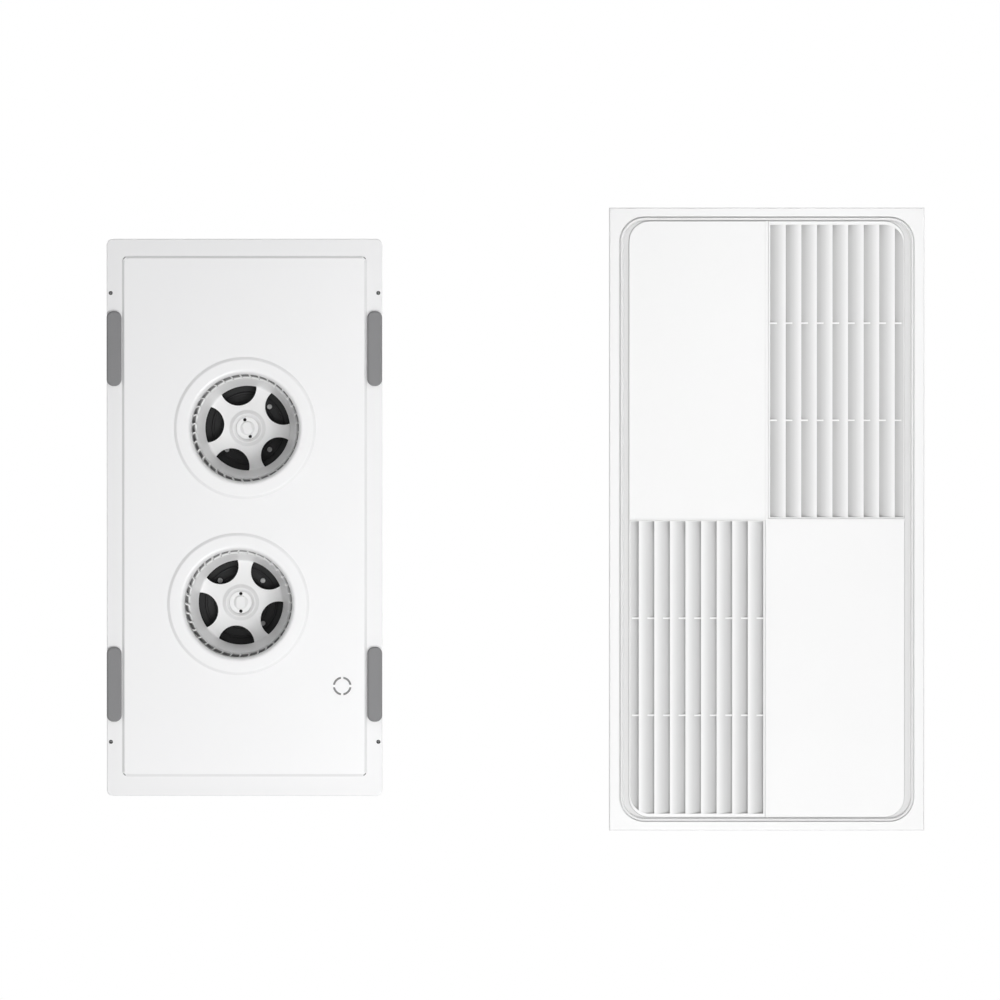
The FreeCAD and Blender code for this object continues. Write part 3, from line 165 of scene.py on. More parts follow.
# %% [markdown]
# ## Moulded plastic
# The plate, the rings, the wheels and the panel are injection moulded. A polished mould still leaves a faint
# orange peel, a slow drift of gloss where the plastic cooled at different rates, and a trace of tint. One
# function makes every plastic, from a colour, a gloss and the size of its grain, so the family stays alike
# and each piece keeps its own numbers. On white, light alone hardly shows a groove or a step, so shade is
# painted into the tone: it darkens with depth and on sloping faces.

# %% Shade by slope and by depth
SQUARE_ON, SLOPING = 0.98, 0.80
MARGIN = 0.1


def facing(wire):
    """How a face looks along Y, where -1 is straight to the room."""
    normal = wire.node("ShaderNodeTexCoord", out="Normal")
    return wire.node("ShaderNodeSeparateXYZ", out="Y", Vector=normal)


def shaded_edges(wire, tone, share):
    """A tone with painted shade: darker by a share on sloping faces."""
    square = wire.maths("ABSOLUTE", facing(wire))
    steep = wire.node("ShaderNodeMapRange", Value=square, i1=SQUARE_ON, i2=SLOPING)
    return tinted(wire, steep * share, tone, (0, 0, 0))


def shaded_depths(wire, tone, place, squarely, tints):
    """Painted shade: tints by depth in millimetres, on faces that look to the room at least so squarely."""
    near, far = tints[0][0] - MARGIN, tints[-1][0] + MARGIN
    deep = wire.node("ShaderNodeSeparateXYZ", out="Y", Vector=place) / MM
    stops = [((level - near) / (far - near), (tint, tint, tint)) for level, tint in tints]
    sunk = wire.node("ShaderNodeMapRange", Value=deep, i1=near, i2=far)
    sunk = wire.node("ShaderNodeValToRGB", settings={"stops": stops}, Fac=sunk)
    square = wire.maths("LESS_THAN", facing(wire), -squarely)
    settings = {"data_type": "RGBA", "blend_type": "MULTIPLY"}
    return wire.node("ShaderNodeMix", 2, settings, i0=square, i6=tone, i7=sunk)


# Painted shade by depth: grooves, slats' deep edges, channels, blade tips and the bowl's lip go darker.
# Each has how squarely a face looks to the room, then pairs of a depth in millimetres and a tint.
GROOVE_SHADE = 0.97, [(-3.5, 1.0), (-3.2, 0.22), (-2.74, 0.22), (-2.66, 0.96)]
SLAT_SHADE = 0.1, [(-148.3, 1.0), (-147.8, 0.92), (-146.5, 0.80), (-144.5, 0.70), (-141.8, 0.65)]
CHANNEL_SHADE = 0.7, [(-148.2, 1.0), (-147.0, 0.78), (-146.7, 0.77), (-146.3, 0.86)]
BLADE_TIP_SHADE = [(12.0, 0.88), (17.0, 0.90), (22.0, 1.0)]
BOWL_LIP_SHADE = [(35.88, 1.0), (35.95, 0.26), (36.5, 0.26), (36.7, 1.0)]
WHEEL_SHADE = 0.9, BLADE_TIP_SHADE + BOWL_LIP_SHADE
print("depth stops", [len(tints) for _, tints in (GROOVE_SHADE, SLAT_SHADE, CHANNEL_SHADE, WHEEL_SHADE)])


# %% Plastics
def plastic(name, colour, shade, rough, spread, grain, bump, coat=0.0, depths=None, edge=0.0):
    """Moulded plastic: colour drifts to shade, roughness by spread, and grain is the texture's scale."""
    material, shader, wire = new_finish(name)
    place = wire.node("ShaderNodeTexCoord", out="Object")
    drift = wire.node("ShaderNodeTexNoise", Vector=place, Scale=9.0, Detail=3.0, Roughness=0.55)
    fine = wire.node("ShaderNodeTexNoise", Vector=place, Scale=grain, Detail=2.0, Roughness=0.5)
    tone = tinted(wire, drift, colour, shade)
    if edge:
        tone = shaded_edges(wire, tone, edge)
    if depths:
        tone = shaded_depths(wire, tone, place, *depths)
    link(tone, shader, "Base Color")
    link(rough + (drift - 0.5) * spread + (fine - 0.5) * spread * 0.5, shader, "Roughness")
    link(wire.node("ShaderNodeBump", Strength=bump, Distance=0.0002, Height=fine), shader, "Normal")
    shader.inputs["Coat Weight"].default_value = coat
    shader.inputs["IOR"].default_value = 1.5
    return material


PANEL = (0.835, 0.835, 0.835), (0.82, 0.82, 0.82), 0.42, 0.10, 1100.0, 0.10
# Where given, depth tints and an edge share paint shade into a plastic's tone.
PLASTICS = {
    "white_plate": ((0.92, 0.92, 0.925), (0.90, 0.90, 0.905), 0.34, 0.10, 900.0, 0.10, 0.15, GROOVE_SHADE, 0.13),
    "panel_white": (*PANEL, 0.0, SLAT_SHADE),
    "panel_frame": (*PANEL, 0.0, CHANNEL_SHADE, 0.03),
    "panel_tie": PANEL,
    # A dark finish that paints shade into the nut's two spanner holes.
    "hole_shade": ((0.05, 0.05, 0.05), (0.03, 0.03, 0.03), 0.8, 0.1, 1300.0, 0.3),
    "wheel_plastic": ((0.95, 0.95, 0.95), (0.92, 0.92, 0.92), 0.40, 0.14, 1300.0, 0.12, 0.0, WHEEL_SHADE,
                      0.08),
    "housing_plastic": ((0.72, 0.72, 0.73), (0.67, 0.67, 0.68), 0.5, 0.2, 1700.0, 0.4),
    "bolt_dull": ((0.62, 0.62, 0.625), (0.70, 0.70, 0.70), 0.5, 0.2, 1500.0, 0.3),
    "foam_black": ((0.03, 0.03, 0.03), (0.05, 0.05, 0.05), 0.9, 0.1, 1400.0, 0.9),
    "capacitor_case": ((0.022, 0.022, 0.024), (0.032, 0.032, 0.034), 0.38, 0.16, 1200.0, 0.2),
    "terminal_nylon": ((0.66, 0.66, 0.61), (0.58, 0.57, 0.52), 0.48, 0.16, 1000.0, 0.2),
    "magnet_grey": ((0.215, 0.215, 0.22), (0.25, 0.25, 0.255), 0.72, 0.2, 1500.0, 0.4),
}
finishes = {name: plastic(name, *values) for name, values in PLASTICS.items()}
print("plastics", sorted(finishes))

# %% [markdown]
# ## Metals
# The motors are pressed steel under black paint, the screws and keepers are zinc plated, and the core is a
# stack of thin sheets. Paint has a slightly wavy skin, plating has a fine spangle, and a stack has lines at
# the sheets' pitch. Sintered bushes are grainy too, so they share the plating's recipe in bronze.


# %% Metals
def plated(name, colour, shade, rough, spangle):
    """Plated or sintered metal: small crystals that differ a little in tone and gloss."""
    material, shader, wire = new_finish(name)
    place = wire.node("ShaderNodeTexCoord", out="Object")
    crystals = wire.node("ShaderNodeTexVoronoi", out="Color", Vector=place, Scale=spangle)
    tone = wire.node("ShaderNodeSeparateColor", i0=crystals)
    scuffs = wire.node("ShaderNodeTexNoise", Vector=place, Scale=spangle * 3, Detail=4.0)
    link(tinted(wire, tone, colour, shade), shader, "Base Color")
    link(rough + (tone - 0.5) * 0.12 + (scuffs - 0.5) * 0.2, shader, "Roughness")
    link(wire.node("ShaderNodeBump", Strength=0.08, Distance=0.0001, Height=scuffs), shader, "Normal")
    shader.inputs["Metallic"].default_value = 1.0
    return material


def paint(name, colour, dust, rough):
    """Sprayed enamel with a wavy skin and a little dust."""
    material, shader, wire = new_finish(name)
    place = wire.node("ShaderNodeTexCoord", out="Object")
    skin = wire.node("ShaderNodeTexNoise", Vector=place, Scale=420.0, Detail=2.0)
    settled = wire.node("ShaderNodeTexNoise", Vector=place, Scale=38.0, Detail=5.0, Roughness=0.65)
    link(tinted(wire, settled ** 3.0, colour, dust), shader, "Base Color")
    link(rough + (settled - 0.5) * 0.3, shader, "Roughness")
    link(wire.node("ShaderNodeBump", Strength=0.25, Distance=0.0003, Height=skin), shader, "Normal")
    shader.inputs["Specular IOR Level"].default_value = 0.3
    return material


def stacked(name, colour, gap, sheets):
    """A stack of thin sheets along the motor's axis, with dark lines between them."""
    material, shader, wire = new_finish(name)
    place = wire.node("ShaderNodeTexCoord", out="Object")
    depth = wire.node("ShaderNodeSeparateXYZ", out="Y", Vector=place)
    line = wire.maths("PINGPONG", depth * sheets, 0.5) * 2
    scuffs = wire.node("ShaderNodeTexNoise", Vector=place, Scale=600.0, Detail=3.0)
    link(tinted(wire, line ** 0.4, gap, colour), shader, "Base Color")
    link(0.38 + (scuffs - 0.5) * 0.25, shader, "Roughness")
    link(wire.node("ShaderNodeBump", Strength=0.4, Distance=0.0002, Height=line), shader, "Normal")
    shader.inputs["Metallic"].default_value = 1.0
    return material


METALS = {
    "steel_bright": (plated, (0.66, 0.66, 0.67), (0.52, 0.52, 0.54), 0.30, 1400.0),
    "keeper_zinc": (plated, (0.40, 0.41, 0.43), (0.35, 0.36, 0.38), 0.42, 900.0),
    "bush_bronze": (plated, (0.55, 0.36, 0.15), (0.40, 0.26, 0.10), 0.40, 2600.0),
    "motor_black": (paint, (0.012, 0.012, 0.013), (0.03, 0.03, 0.03), 0.55),
    "core_steel": (stacked, (0.30, 0.30, 0.31), (0.05, 0.05, 0.05), 2000.0),
    "rotor_alloy": (stacked, (0.62, 0.62, 0.62), (0.25, 0.25, 0.25), 1000.0),
}
finishes.update({name: make(name, *values) for name, (make, *values) in METALS.items()})
slot_of = {part["node"]: part["material_slot"] for part in record["subparts"]}
for node, slot in slot_of.items():
    for place in frame["nodes"][node].material_slots:
        place.material = finishes[slot]
print("finishes", len(finishes), "on", len(slot_of), "nodes")

# %% [markdown]
# ## Light and background
# The photograph has one broad light from the lower right over an even white surround. An even world gives the
# soft fill, and one large lamp gives the fall of light across the faces. A weaker lamp from the upper left
# softens its shadows, a small one lifts the panel's upper louvre, and two behind keep the back readable. The
# background is white only for rays that look at it, so it adds nothing to the light on the object.

# %% World and lamps
FILL = 0.28
MIDDLE = (0.25, 0, 0)
PANEL_BEAM = math.radians(48)


def seen(wire):
    """1 for rays that look, mirror or pass through, 0 for rays that light."""
    path = wire.tree.nodes.new("ShaderNodeLightPath")
    kinds = ("Is Camera Ray", "Is Glossy Ray", "Is Transmission Ray")
    rays = [Wire(wire.tree, path.outputs[kind]) for kind in kinds]
    return wire.maths("MINIMUM", rays[0] + rays[1] + rays[2], 1.0)


def lamp(name, place, aim, size, power):
    """A square lamp that faces what it aims at, in metres and watts."""
    light = bpy.data.lights.new(name, "AREA")
    light.size = size
    light.energy = power
    made = placed(name, light)
    made.location = place
    made.rotation_euler = (Vector(aim) - Vector(place)).to_track_quat("-Z", "Y").to_euler()
    return light


world = bpy.data.worlds.new("surround")
world.use_nodes = True
bpy.context.scene.world = world
background = world.node_tree.nodes["Background"]
link(FILL + seen(Wire(world.node_tree)) * (1 - FILL), background, "Strength")
background.inputs["Color"].default_value = (1, 1, 1, 1)

lamp("broad_lamp", (0.64, -2.45, -1.0), MIDDLE, 1.1, 42)
lamp("soft_lamp", (-0.7, -2.2, 1.5), (0, 0, 0), 1.6, 7)
lamp("panel_lamp", (1.0, -1.0, 0.8), (0.5, -0.15, 0.22), 0.5, 0.38).spread = PANEL_BEAM
lamp("back_lamp", (-1.4, 2.8, 1.6), MIDDLE, 1.8, 50)
lamp("side_lamp", (2.6, 1.6, 1.2), MIDDLE, 1.4, 30)
print("lamps", sorted(light.name for light in bpy.data.lights))

# %% [markdown]
# A floor far below closes the surround from under. It glows for rays that look at it, so no edge shows where
# it meets the white, and it still takes a shadow.

# %% Floor
FLOOR_LEVEL, FLOOR_REACH, FLOOR_GLOW = -2.4, 7, 0.9
rough = bmesh.new()
bmesh.ops.create_grid(rough, x_segments=1, y_segments=1, size=FLOOR_REACH)
mesh = bpy.data.meshes.new("floor")
rough.to_mesh(mesh)
rough.free()
floor = placed("floor", mesh)
floor.location = (0, 0, FLOOR_LEVEL)
pale, shader, wire = new_finish("floor")
shader.inputs["Base Color"].default_value = (0.8, 0.8, 0.8, 1)
shader.inputs["Roughness"].default_value = 0.9
shader.inputs["Emission Color"].default_value = (1, 1, 1, 1)
link(seen(wire) * FLOOR_GLOW, shader, "Emission Strength")
mesh.materials.append(pale)
print("floor at", FLOOR_LEVEL)

# %% [markdown]
# ## From construction to finish
# A CAD solid has knife edges, and no moulding has them. A copy of a node can be merged, its flat faces
# joined and its edges rounded by a bevel, with normals weighted by face size so that flats stay flat. That
# keeps each size from the construction, so it is used wherever the CAD shape is right and only its edges are
# too sharp.

# %% Helpers for finished pieces
SMOOTH, FLAT = math.radians(32), math.radians(0.6)
MERGE, FINE_MERGE = 0.002 * MM, 0.001 * MM
EVEN = ("WEIGHTED_NORMAL", {"keep_sharp": True, "weight": 90})


def copied(node):
    """A merged copy of a node's mesh, to be worked on."""
    rough = bmesh.new()
    rough.from_mesh(frame["nodes"][node].data)
    bmesh.ops.remove_doubles(rough, verts=rough.verts, dist=MERGE)
    return rough


def new_mesh(name, rough):
    """A mesh from a bmesh, with faces pointing outwards and sharp edges marked."""
    bmesh.ops.recalc_face_normals(rough, faces=rough.faces)
    mesh = bpy.data.meshes.new(name)
    rough.to_mesh(mesh)
    rough.free()
    mesh.shade_smooth()
    mesh.set_sharp_from_angle(angle=SMOOTH)
    return mesh


def baked(mesh, *steps):
    """The mesh after a stack of modifiers, each a type and its settings."""
    rough = placed("rough", mesh)
    for kind, settings in steps:
        step = rough.modifiers.new(kind, kind)
        for name, value in settings.items():
            if name in step.bl_rna.properties:
                setattr(step, name, value)
            else:
                step[name] = value
    graph = bpy.context.evaluated_depsgraph_get()
    made = bpy.data.meshes.new_from_object(rough.evaluated_get(graph), depsgraph=graph)
    bpy.data.objects.remove(rough)
    return made


def cut(mesh, tool):
    """The mesh without what lies inside the tool's solids."""
    cutter = placed("cutter", tool)
    made = baked(mesh, ("BOOLEAN", {"object": cutter, "operation": "DIFFERENCE", "solver": "EXACT"}))
    bpy.data.objects.remove(cutter)
    return made


def hand_over(name, mesh, body, slot, *nodes, finish=None):
    """A finished piece on its body, with its slot's finish or another, standing for the nodes it replaces."""
    piece = placed(name, mesh)
    mesh.materials.clear()
    mesh.materials.append(finishes[finish or slot])
    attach(piece, body)
    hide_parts(*nodes)
    print(name, len(mesh.polygons), "faces on", body)
    return piece


# %% [markdown]
# ## Small corrections
# In three places the photograph shows an edge up to about two millimetres from where the construction has it.
# Moving those corners of the copy, before its edges are rounded, is enough, and the construction stays as it
# is.

# %% Corrected copies
PANEL_AT = 506.0
# An edge nearer to the middle line than the first value moves to the second.
BESIDE_MULLION, BESIDE_RAIL = (1.7, 1.34), (1.1, 0.74)
STEP_UP, STEP_DEEP, STEP_HALF_WIDTH, STEP_LIFT = (248, 264), (-4.6, 0.1), 127, 2.3
PAD_TRIM = 2


def snug(rough):
    """Closes a blank up to the panel's mullion and rail, where a moulded joint shows hardly a line."""
    for spot in rough.verts:
        aside = spot.co.x - PANEL_AT * MM
        if abs(aside) < BESIDE_MULLION[0] * MM:
            spot.co.x = PANEL_AT * MM + math.copysign(BESIDE_MULLION[1] * MM, aside)
        if abs(spot.co.z) < BESIDE_RAIL[0] * MM:
            spot.co.z = math.copysign(BESIDE_RAIL[1] * MM, spot.co.z)


def lifted(rough):
    """Lifts the upper step of the plate's raised field, which the photograph shows nearer to the edge."""
    for spot in rough.verts:
        x, y, z = spot.co / MM
        if STEP_UP[0] < z < STEP_UP[1] and STEP_DEEP[0] < y < STEP_DEEP[1] and abs(x) < STEP_HALF_WIDTH:
            spot.co.z += STEP_LIFT * MM


def trimmed(rough):
    """Trims a magnet pad's lower end a little, as the photograph shows it."""
    middle = sum(spot.co.z for spot in rough.verts) / len(rough.verts)
    for spot in rough.verts:
        if spot.co.z < middle:
            spot.co.z += PAD_TRIM * MM


ADJUSTED = {"blank_upper": snug, "blank_lower": snug, "face_plate": lifted}
ADJUSTED.update({node: trimmed for node in slot_of if node.startswith("magnet_pad")})
print("corrected", sorted(ADJUSTED))

# %% Softened pieces
body_of = {node: body for body, nodes in record["behaviour"]["bodies"].items() for node in nodes}
# The frame's finish paints shade into its channels; the blanks' finish has no painted shade.
OWN_FINISH = {"panel_frame": "panel_frame", "blank_upper": "panel_tie", "blank_lower": "panel_tie"}
ROUNDED = {"face_plate": 0.6, "panel_frame": 0.12, "blank_upper": 0.05, "blank_lower": 0.05}
ROUNDED.update({"scroll_housing": 0.5, "outlet_collar": 0.4, "terminal_box": 0.5, "terminal_cover": 0.5})
ROUNDED["damper_flap"] = 0.3
FAMILIES = {"capacitor": 0.6, "magnet_pad": 1.8, "motor_plate": 0.25, "keeper": 0.25, "motor_can": 0.3}


def softened(node, width):
    """A finished copy of a node, with its edges rounded to a width in millimetres."""
    rough = copied(node)
    bmesh.ops.dissolve_limit(rough, angle_limit=FLAT, verts=rough.verts, edges=rough.edges)
    if node in ADJUSTED:
        ADJUSTED[node](rough)
    bevel = {"width": width * MM, "segments": 2, "limit_method": "ANGLE", "angle_limit": SMOOTH}
    mesh = baked(new_mesh(node + "_soft", rough), ("BEVEL", bevel), EVEN)
    finish = OWN_FINISH.get(node)
    return hand_over(node + ".finished", mesh, body_of[node], slot_of[node], node, finish=finish)


for family, width in FAMILIES.items():
    members = [node for node in slot_of if node.startswith((family + "_upper", family + "_lower"))]
    ROUNDED.update({node: width for node in members})
ROUNDED["cable_gland"] = 0.3
for node, width in ROUNDED.items():
    softened(node, width)

# %% [markdown]
# ## Turned pieces
# The inlet rings, the rings in the motor plates and the wheels' bowls and hoops are round. A closed profile
# with rounded corners, turned about the axis, gives them smooth curves at any zoom, which a CAD mesh with few
# facets doesn't.


# %% Turning a profile
def eased(points, radii, steps=5):
    """A closed outline with some corners rounded: radii gives the radius for a corner's index."""
    out = []
    for place, corner in enumerate(points):
        here = Vector(corner)
        before = Vector(points[place - 1]) - here
        after = Vector(points[(place + 1) % len(points)]) - here
        radius = radii.get(place, 0)
        if not radius:
            out.append(here)
            continue
        a, b = before.normalized(), after.normalized()
        half = a.angle(b) / 2
        centre = here + (a + b).normalized() * (radius / math.sin(half))
        first = here + a * (radius / math.tan(half)) - centre
        last = here + b * (radius / math.tan(half)) - centre
        sweep = first.angle(last)
        for step in range(steps + 1):
            share = step / steps
            mix = first * math.sin((1 - share) * sweep) + last * math.sin(share * sweep)
            out.append(centre + mix / math.sin(sweep))
    return out


def band(rough, one, two):
    """Faces between two closed rows of as many corners."""
    for place in range(len(one)):
        after = (place + 1) % len(one)
        rough.faces.new((one[place], one[after], two[after], two[place]))


def turn(rough, outline, axis, segments=144):
    """Turns an outline of (radius, depth) millimetres about a line along Y through axis, in metres."""
    rows = []
    for step in range(segments):
        angle = 2 * math.pi * step / segments
        row = []
        for radius, depth in outline:
            across, up = radius * MM * math.cos(angle), radius * MM * math.sin(angle)
            row.append(rough.verts.new((axis[0] + across, depth * MM, axis[1] + up)))
        rows.append(row)
    for one, two in zip(rows, rows[1:] + rows[:1]):
        band(rough, one, two)
    bmesh.ops.remove_doubles(rough, verts=rough.verts, dist=FINE_MERGE)


AXES = {}
for joint in frame["joints"]:
    if joint["child"].startswith("wheel_"):
        AXES[joint["child"].removeprefix("wheel_")] = (joint["pos_m"][0], joint["pos_m"][2])
print("wheel axes", AXES)

# %% [markdown]
# ## Inlet rings
# Each ring is a separate moulding: a broad flat rim with a rounded outer edge, rounded again into the throat
# that leads the air to the wheel. The round edges catch the light, so they are turned, with the sizes of the
# CAD ring.

# %% Inlet rings
RING = [(69.6, -4.5), (69.6, -4.8), (66.8, -6.5), (52.6, -6.5), (52.6, 10.8), (54.6, 10.8), (54.6, -4.5)]
RING += [(65.1, -4.5), (65.1, -2.3), (67.1, -2.3), (67.1, -4.5)]
RING_ROUNDS = {1: 0.2, 2: 2.6, 3: 4.9, 4: 0.6, 5: 0.6, 6: 2.8, 7: 0.5, 8: 0.3, 9: 0.3}
RING_STEPS = 7
for side, axis in AXES.items():
    rough = bmesh.new()
    turn(rough, eased(RING, RING_ROUNDS, RING_STEPS), axis)
    mesh = baked(new_mesh("inlet_ring", rough), EVEN)
    hand_over(side + "_inlet_ring", mesh, "fan_body", "white_plate", "inlet_ring_" + side)

# %% [markdown]
# ## Pressed plates
# The dark plate behind each wheel is pressed steel, and such a plate gets two raised rings that keep it from
# drumming. Through the wheel's windows their round edges are what tells the plate from a plain hole.

# %% Rings of the motor plates
RIBS = [(24.0, 27.0), (33.5, 36.5)]
RIB_FOOT, RIB_TOP, RIB_ROUND, RIB_FACETS = 80.1, 78.9, 1.1, 96
for side, axis in AXES.items():
    rough = bmesh.new()
    for inner, outer in RIBS:
        rib = [(inner, RIB_FOOT), (inner, RIB_TOP), (outer, RIB_TOP), (outer, RIB_FOOT)]
        turn(rough, eased(rib, {1: RIB_ROUND, 2: RIB_ROUND}), axis, RIB_FACETS)
    mesh = new_mesh("plate_rings", rough)
    hand_over(side + "_plate_rings", mesh, "fan_body", "motor_black", "motor_plate_" + side)

# %% [markdown]
# ## Repeats
# Blades, slats and screws repeat, and a repeat is described best by a rule. A Geometry Nodes tree holds the
# rule: it makes one item, bends it by named sizes and sets it out. The result is turned into plain faces, so
# nothing in the finished model depends on the tree. The shader class serves here too, because both kinds of
# tree reckon alike.


# %% Growing from a rule
def new_tree(name, *inputs):
    """A node tree with named number inputs, and a wire for each of them."""
    tree = bpy.data.node_groups.new(name, "GeometryNodeTree")
    for way in ("INPUT", "OUTPUT"):
        tree.interface.new_socket("Geometry", in_out=way, socket_type="NodeSocketGeometry")
    for each in inputs:
        tree.interface.new_socket(each, in_out="INPUT", socket_type="NodeSocketFloat")
    source = tree.nodes.new("NodeGroupInput")
    return Wire(tree), {each: Wire(tree, source.outputs[each]) for each in ("Geometry", *inputs)}


def close_tree(grown, slot):
    """Ends a tree with plain geometry in a finish."""
    grown = grown.node("GeometryNodeRealizeInstances", Geometry=grown)
    grown = grown.node("GeometryNodeMergeByDistance", Geometry=grown, Distance=FINE_MERGE / 2)
    grown = grown.node("GeometryNodeSetMaterial", Geometry=grown, Material=finishes[slot])
    sink = grown.tree.nodes.new("NodeGroupOutput")
    grown.tree.links.new(grown.socket, sink.inputs[0])
    return grown.tree


def grow(tree, source, **values):
    """The mesh that a tree makes from a source mesh, with its inputs set by their sockets' identifiers."""
    named = {item.name: item.identifier for item in tree.interface.items_tree if item.in_out == "INPUT"}
    settings = {"node_group": tree, **{named[name]: value for name, value in values.items()}}
    return baked(source, ("NODES", settings))


def position(wire):
    """The three parts of the position, each as a wire."""
    made = wire.tree.nodes.new("ShaderNodeSeparateXYZ")
    wire.tree.links.new(wire.node("GeometryNodeInputPosition").socket, made.inputs[0])
    return [Wire(wire.tree, out) for out in made.outputs]


# %% [markdown]
# ## Blades
# A forward-curved wheel has many short blades between a back ring and a front hoop. Each is the same thin
# strip, swept along a shallow arc. The rule takes a unit block, reads it as how far out, how deep and how
# thick, and bends it.

# %% Blade rule
BLADE_SIZES = ("Count", "Inner", "Span", "Wall", "Front", "Height", "Sweep", "Camber")
wire, put = new_tree("blade_ring", *BLADE_SIZES, "Hand", "Turn", "Across", "Up")
out, deep, thick = position(wire)
out, deep = out + 0.5, deep + 0.5
radius = put["Inner"] + put["Span"] * out
bend = put["Sweep"] * out - put["Camber"] * 4 * out * (1 - out)
angle = put["Hand"] * (bend + thick * put["Wall"] / radius) + put["Turn"]
across, up = radius * wire.maths("COSINE", angle), radius * wire.maths("SINE", angle)
bent = wire.node("ShaderNodeCombineXYZ", X=across, Y=put["Front"] + put["Height"] * deep, Z=up)
strip = wire.node("GeometryNodeMeshCube", Vertices_X=8)
strip = wire.node("GeometryNodeSetPosition", Geometry=strip, Position=bent)
hub = wire.node("ShaderNodeCombineXYZ", X=put["Across"], Z=put["Up"])
dots = wire.node("GeometryNodePoints", Count=put["Count"], Position=hub)
around = wire.node("GeometryNodeInputIndex") * (2 * math.pi) / put["Count"]
around = wire.node("ShaderNodeCombineXYZ", Y=around)
ring = wire.node("GeometryNodeInstanceOnPoints", Points=dots, Instance=strip, Rotation=around)
blade_tree = close_tree(ring, "wheel_plastic")
print("blade rule has", len(blade_tree.nodes), "nodes")

# %% [markdown]
# ## Fan wheels
# The wheel is one moulding: a smooth bowl with a small lip that leads the air out to the blades, a domed
# spider with five spokes, and a hub with a nut. The bowl is turned with soft corners, the windows between the
# spokes are cut from it, and the blades and the hoop are added. The nut takes a two-pin spanner, and shade is
# painted into its two holes, as it is onto the blade tips and the bowl's lip by depth. The lower nut is
# tightened to another angle than the construction's, so its copy is turned. The two wheels are mirror images
# and run in opposite directions.

# %% Wheel sizes
BOWL = [(49.0, 35.8), (42.2, 65.8), (18.0, 62.8), (14.6, 60.2), (13.8, 60.2), (11.3, 62.4), (11.3, 64.6)]
BOWL += [(4.0, 64.6), (4.0, 69.8), (11.5, 69.8), (11.5, 65.8), (18.0, 65.8), (42.2, 68.8), (42.2, 69.8)]
BOWL += [(58.5, 69.8), (58.5, 68.0), (44.0, 68.0), (50.4, 37.6), (53.4, 37.6), (53.4, 36.4), (50.2, 35.8)]
BOWL_ROUNDS = {0: 0.7, 1: 3.0, 2: 1.2, 3: 0.7, 4: 0.7, 5: 0.4, 14: 0.5, 15: 0.5, 18: 0.4, 19: 0.4, 20: 0.4}
HOOP = [(58.5, 12.8), (58.5, 15.3), (55.5, 15.3), (55.5, 12.8)]
HOOP_ROUNDS = {0: 0.7, 1: 0.4, 2: 0.4, 3: 0.7}
SPOKES, WINDOW_AT, WINDOW_RADIUS, WINDOW_REACH, WINDOW_CUT = 5, 41.2, 18.0, 42.0, (55, 75)
HOLE_AT, HOLE_RADIUS, HOLE_CUT = 8.7, 1.5, (60, 68)
CAD_HOLE_ANGLE, HOLE_ANGLE = 113.0, {"upper": 113.0, "lower": 78.5}
# How far round a spanner hole its painted shade reaches.
NUT_ROUND, HOLE_SHADE_REACH = 0.3, 0.25
# A face with so many corners is the broad one round a hole, not the hole's own wall.
BROAD_FACE = 30
BOWL_FACETS = 180
WHEEL = {"upper": (1, math.radians(-5.0)), "lower": (-1, math.radians(11.5))}
BLADES = {"Count": 36, "Inner": 49.0 * MM, "Span": 8.0 * MM, "Wall": 1.3 * MM, "Front": 12.8 * MM}
BLADES.update({"Height": 56.9 * MM, "Sweep": math.radians(9.0), "Camber": math.radians(2.6)})
print("each wheel has", SPOKES, "spokes and", BLADES["Count"], "blades")


# %% [markdown]
# The windows and holes could be left out of the turned surface face by face. A boolean with straight prisms
# gives cleaner walls, and one cut with all prisms in a single tool leaves fewer seams than one after another.


# %% Windows and holes
def prism(rough, corners, near, far, axis, angle):
    """A straight prism along Y: corners in millimetres about the axis, turned as seen from the room."""
    rows = []
    for depth in (near, far):
        row = []
        for x, z in corners:
            across = x * math.cos(angle) - z * math.sin(angle)
            up = x * math.sin(angle) + z * math.cos(angle)
            row.append(rough.verts.new((axis[0] + across * MM, depth * MM, axis[1] + up * MM)))
        rows.append(row)
        rough.faces.new(row)
    band(rough, *rows)


def spanner_hole(count=16):
    """The outline of a round hole in the nut, beside the wheel's axis."""
    angles = [2 * math.pi * k / count for k in range(count)]
    return [(HOLE_AT + HOLE_RADIUS * math.cos(a), HOLE_RADIUS * math.sin(a)) for a in angles]


def window(count=20):
    """A spoke window: a circle cut off by the bowl's foot."""
    far = WINDOW_REACH ** 2 + WINDOW_AT ** 2 - WINDOW_RADIUS ** 2
    half = math.acos(far / (2 * WINDOW_REACH * WINDOW_AT))
    x, z = WINDOW_REACH * math.cos(half), WINDOW_REACH * math.sin(half)
    start = math.atan2(z, x - WINDOW_AT)
    outer = [half * (2 * k / count - 1) for k in range(count)]
    inner = [start + (2 * math.pi - 2 * start) * k / count for k in range(count)]
    corners = [(WINDOW_REACH * math.cos(a), WINDOW_REACH * math.sin(a)) for a in outer]
    return corners + [(WINDOW_AT + WINDOW_RADIUS * math.cos(a), WINDOW_RADIUS * math.sin(a)) for a in inner]


def wheel_bowl(axis, turned, holes):
    """The turned bowl with its windows and spanner holes."""
    rough = bmesh.new()
    for spoke in range(SPOKES):
        prism(rough, window(), *WINDOW_CUT, axis, turned + 2 * math.pi * (spoke + 0.5) / SPOKES)
    for half in (0, math.pi):
        prism(rough, spanner_hole(), *HOLE_CUT, axis, holes + half)
    tool = new_mesh("cutter", rough)
    rough = bmesh.new()
    turn(rough, eased(BOWL, BOWL_ROUNDS), axis, BOWL_FACETS)
    return cut(new_mesh("bowl", rough), tool)


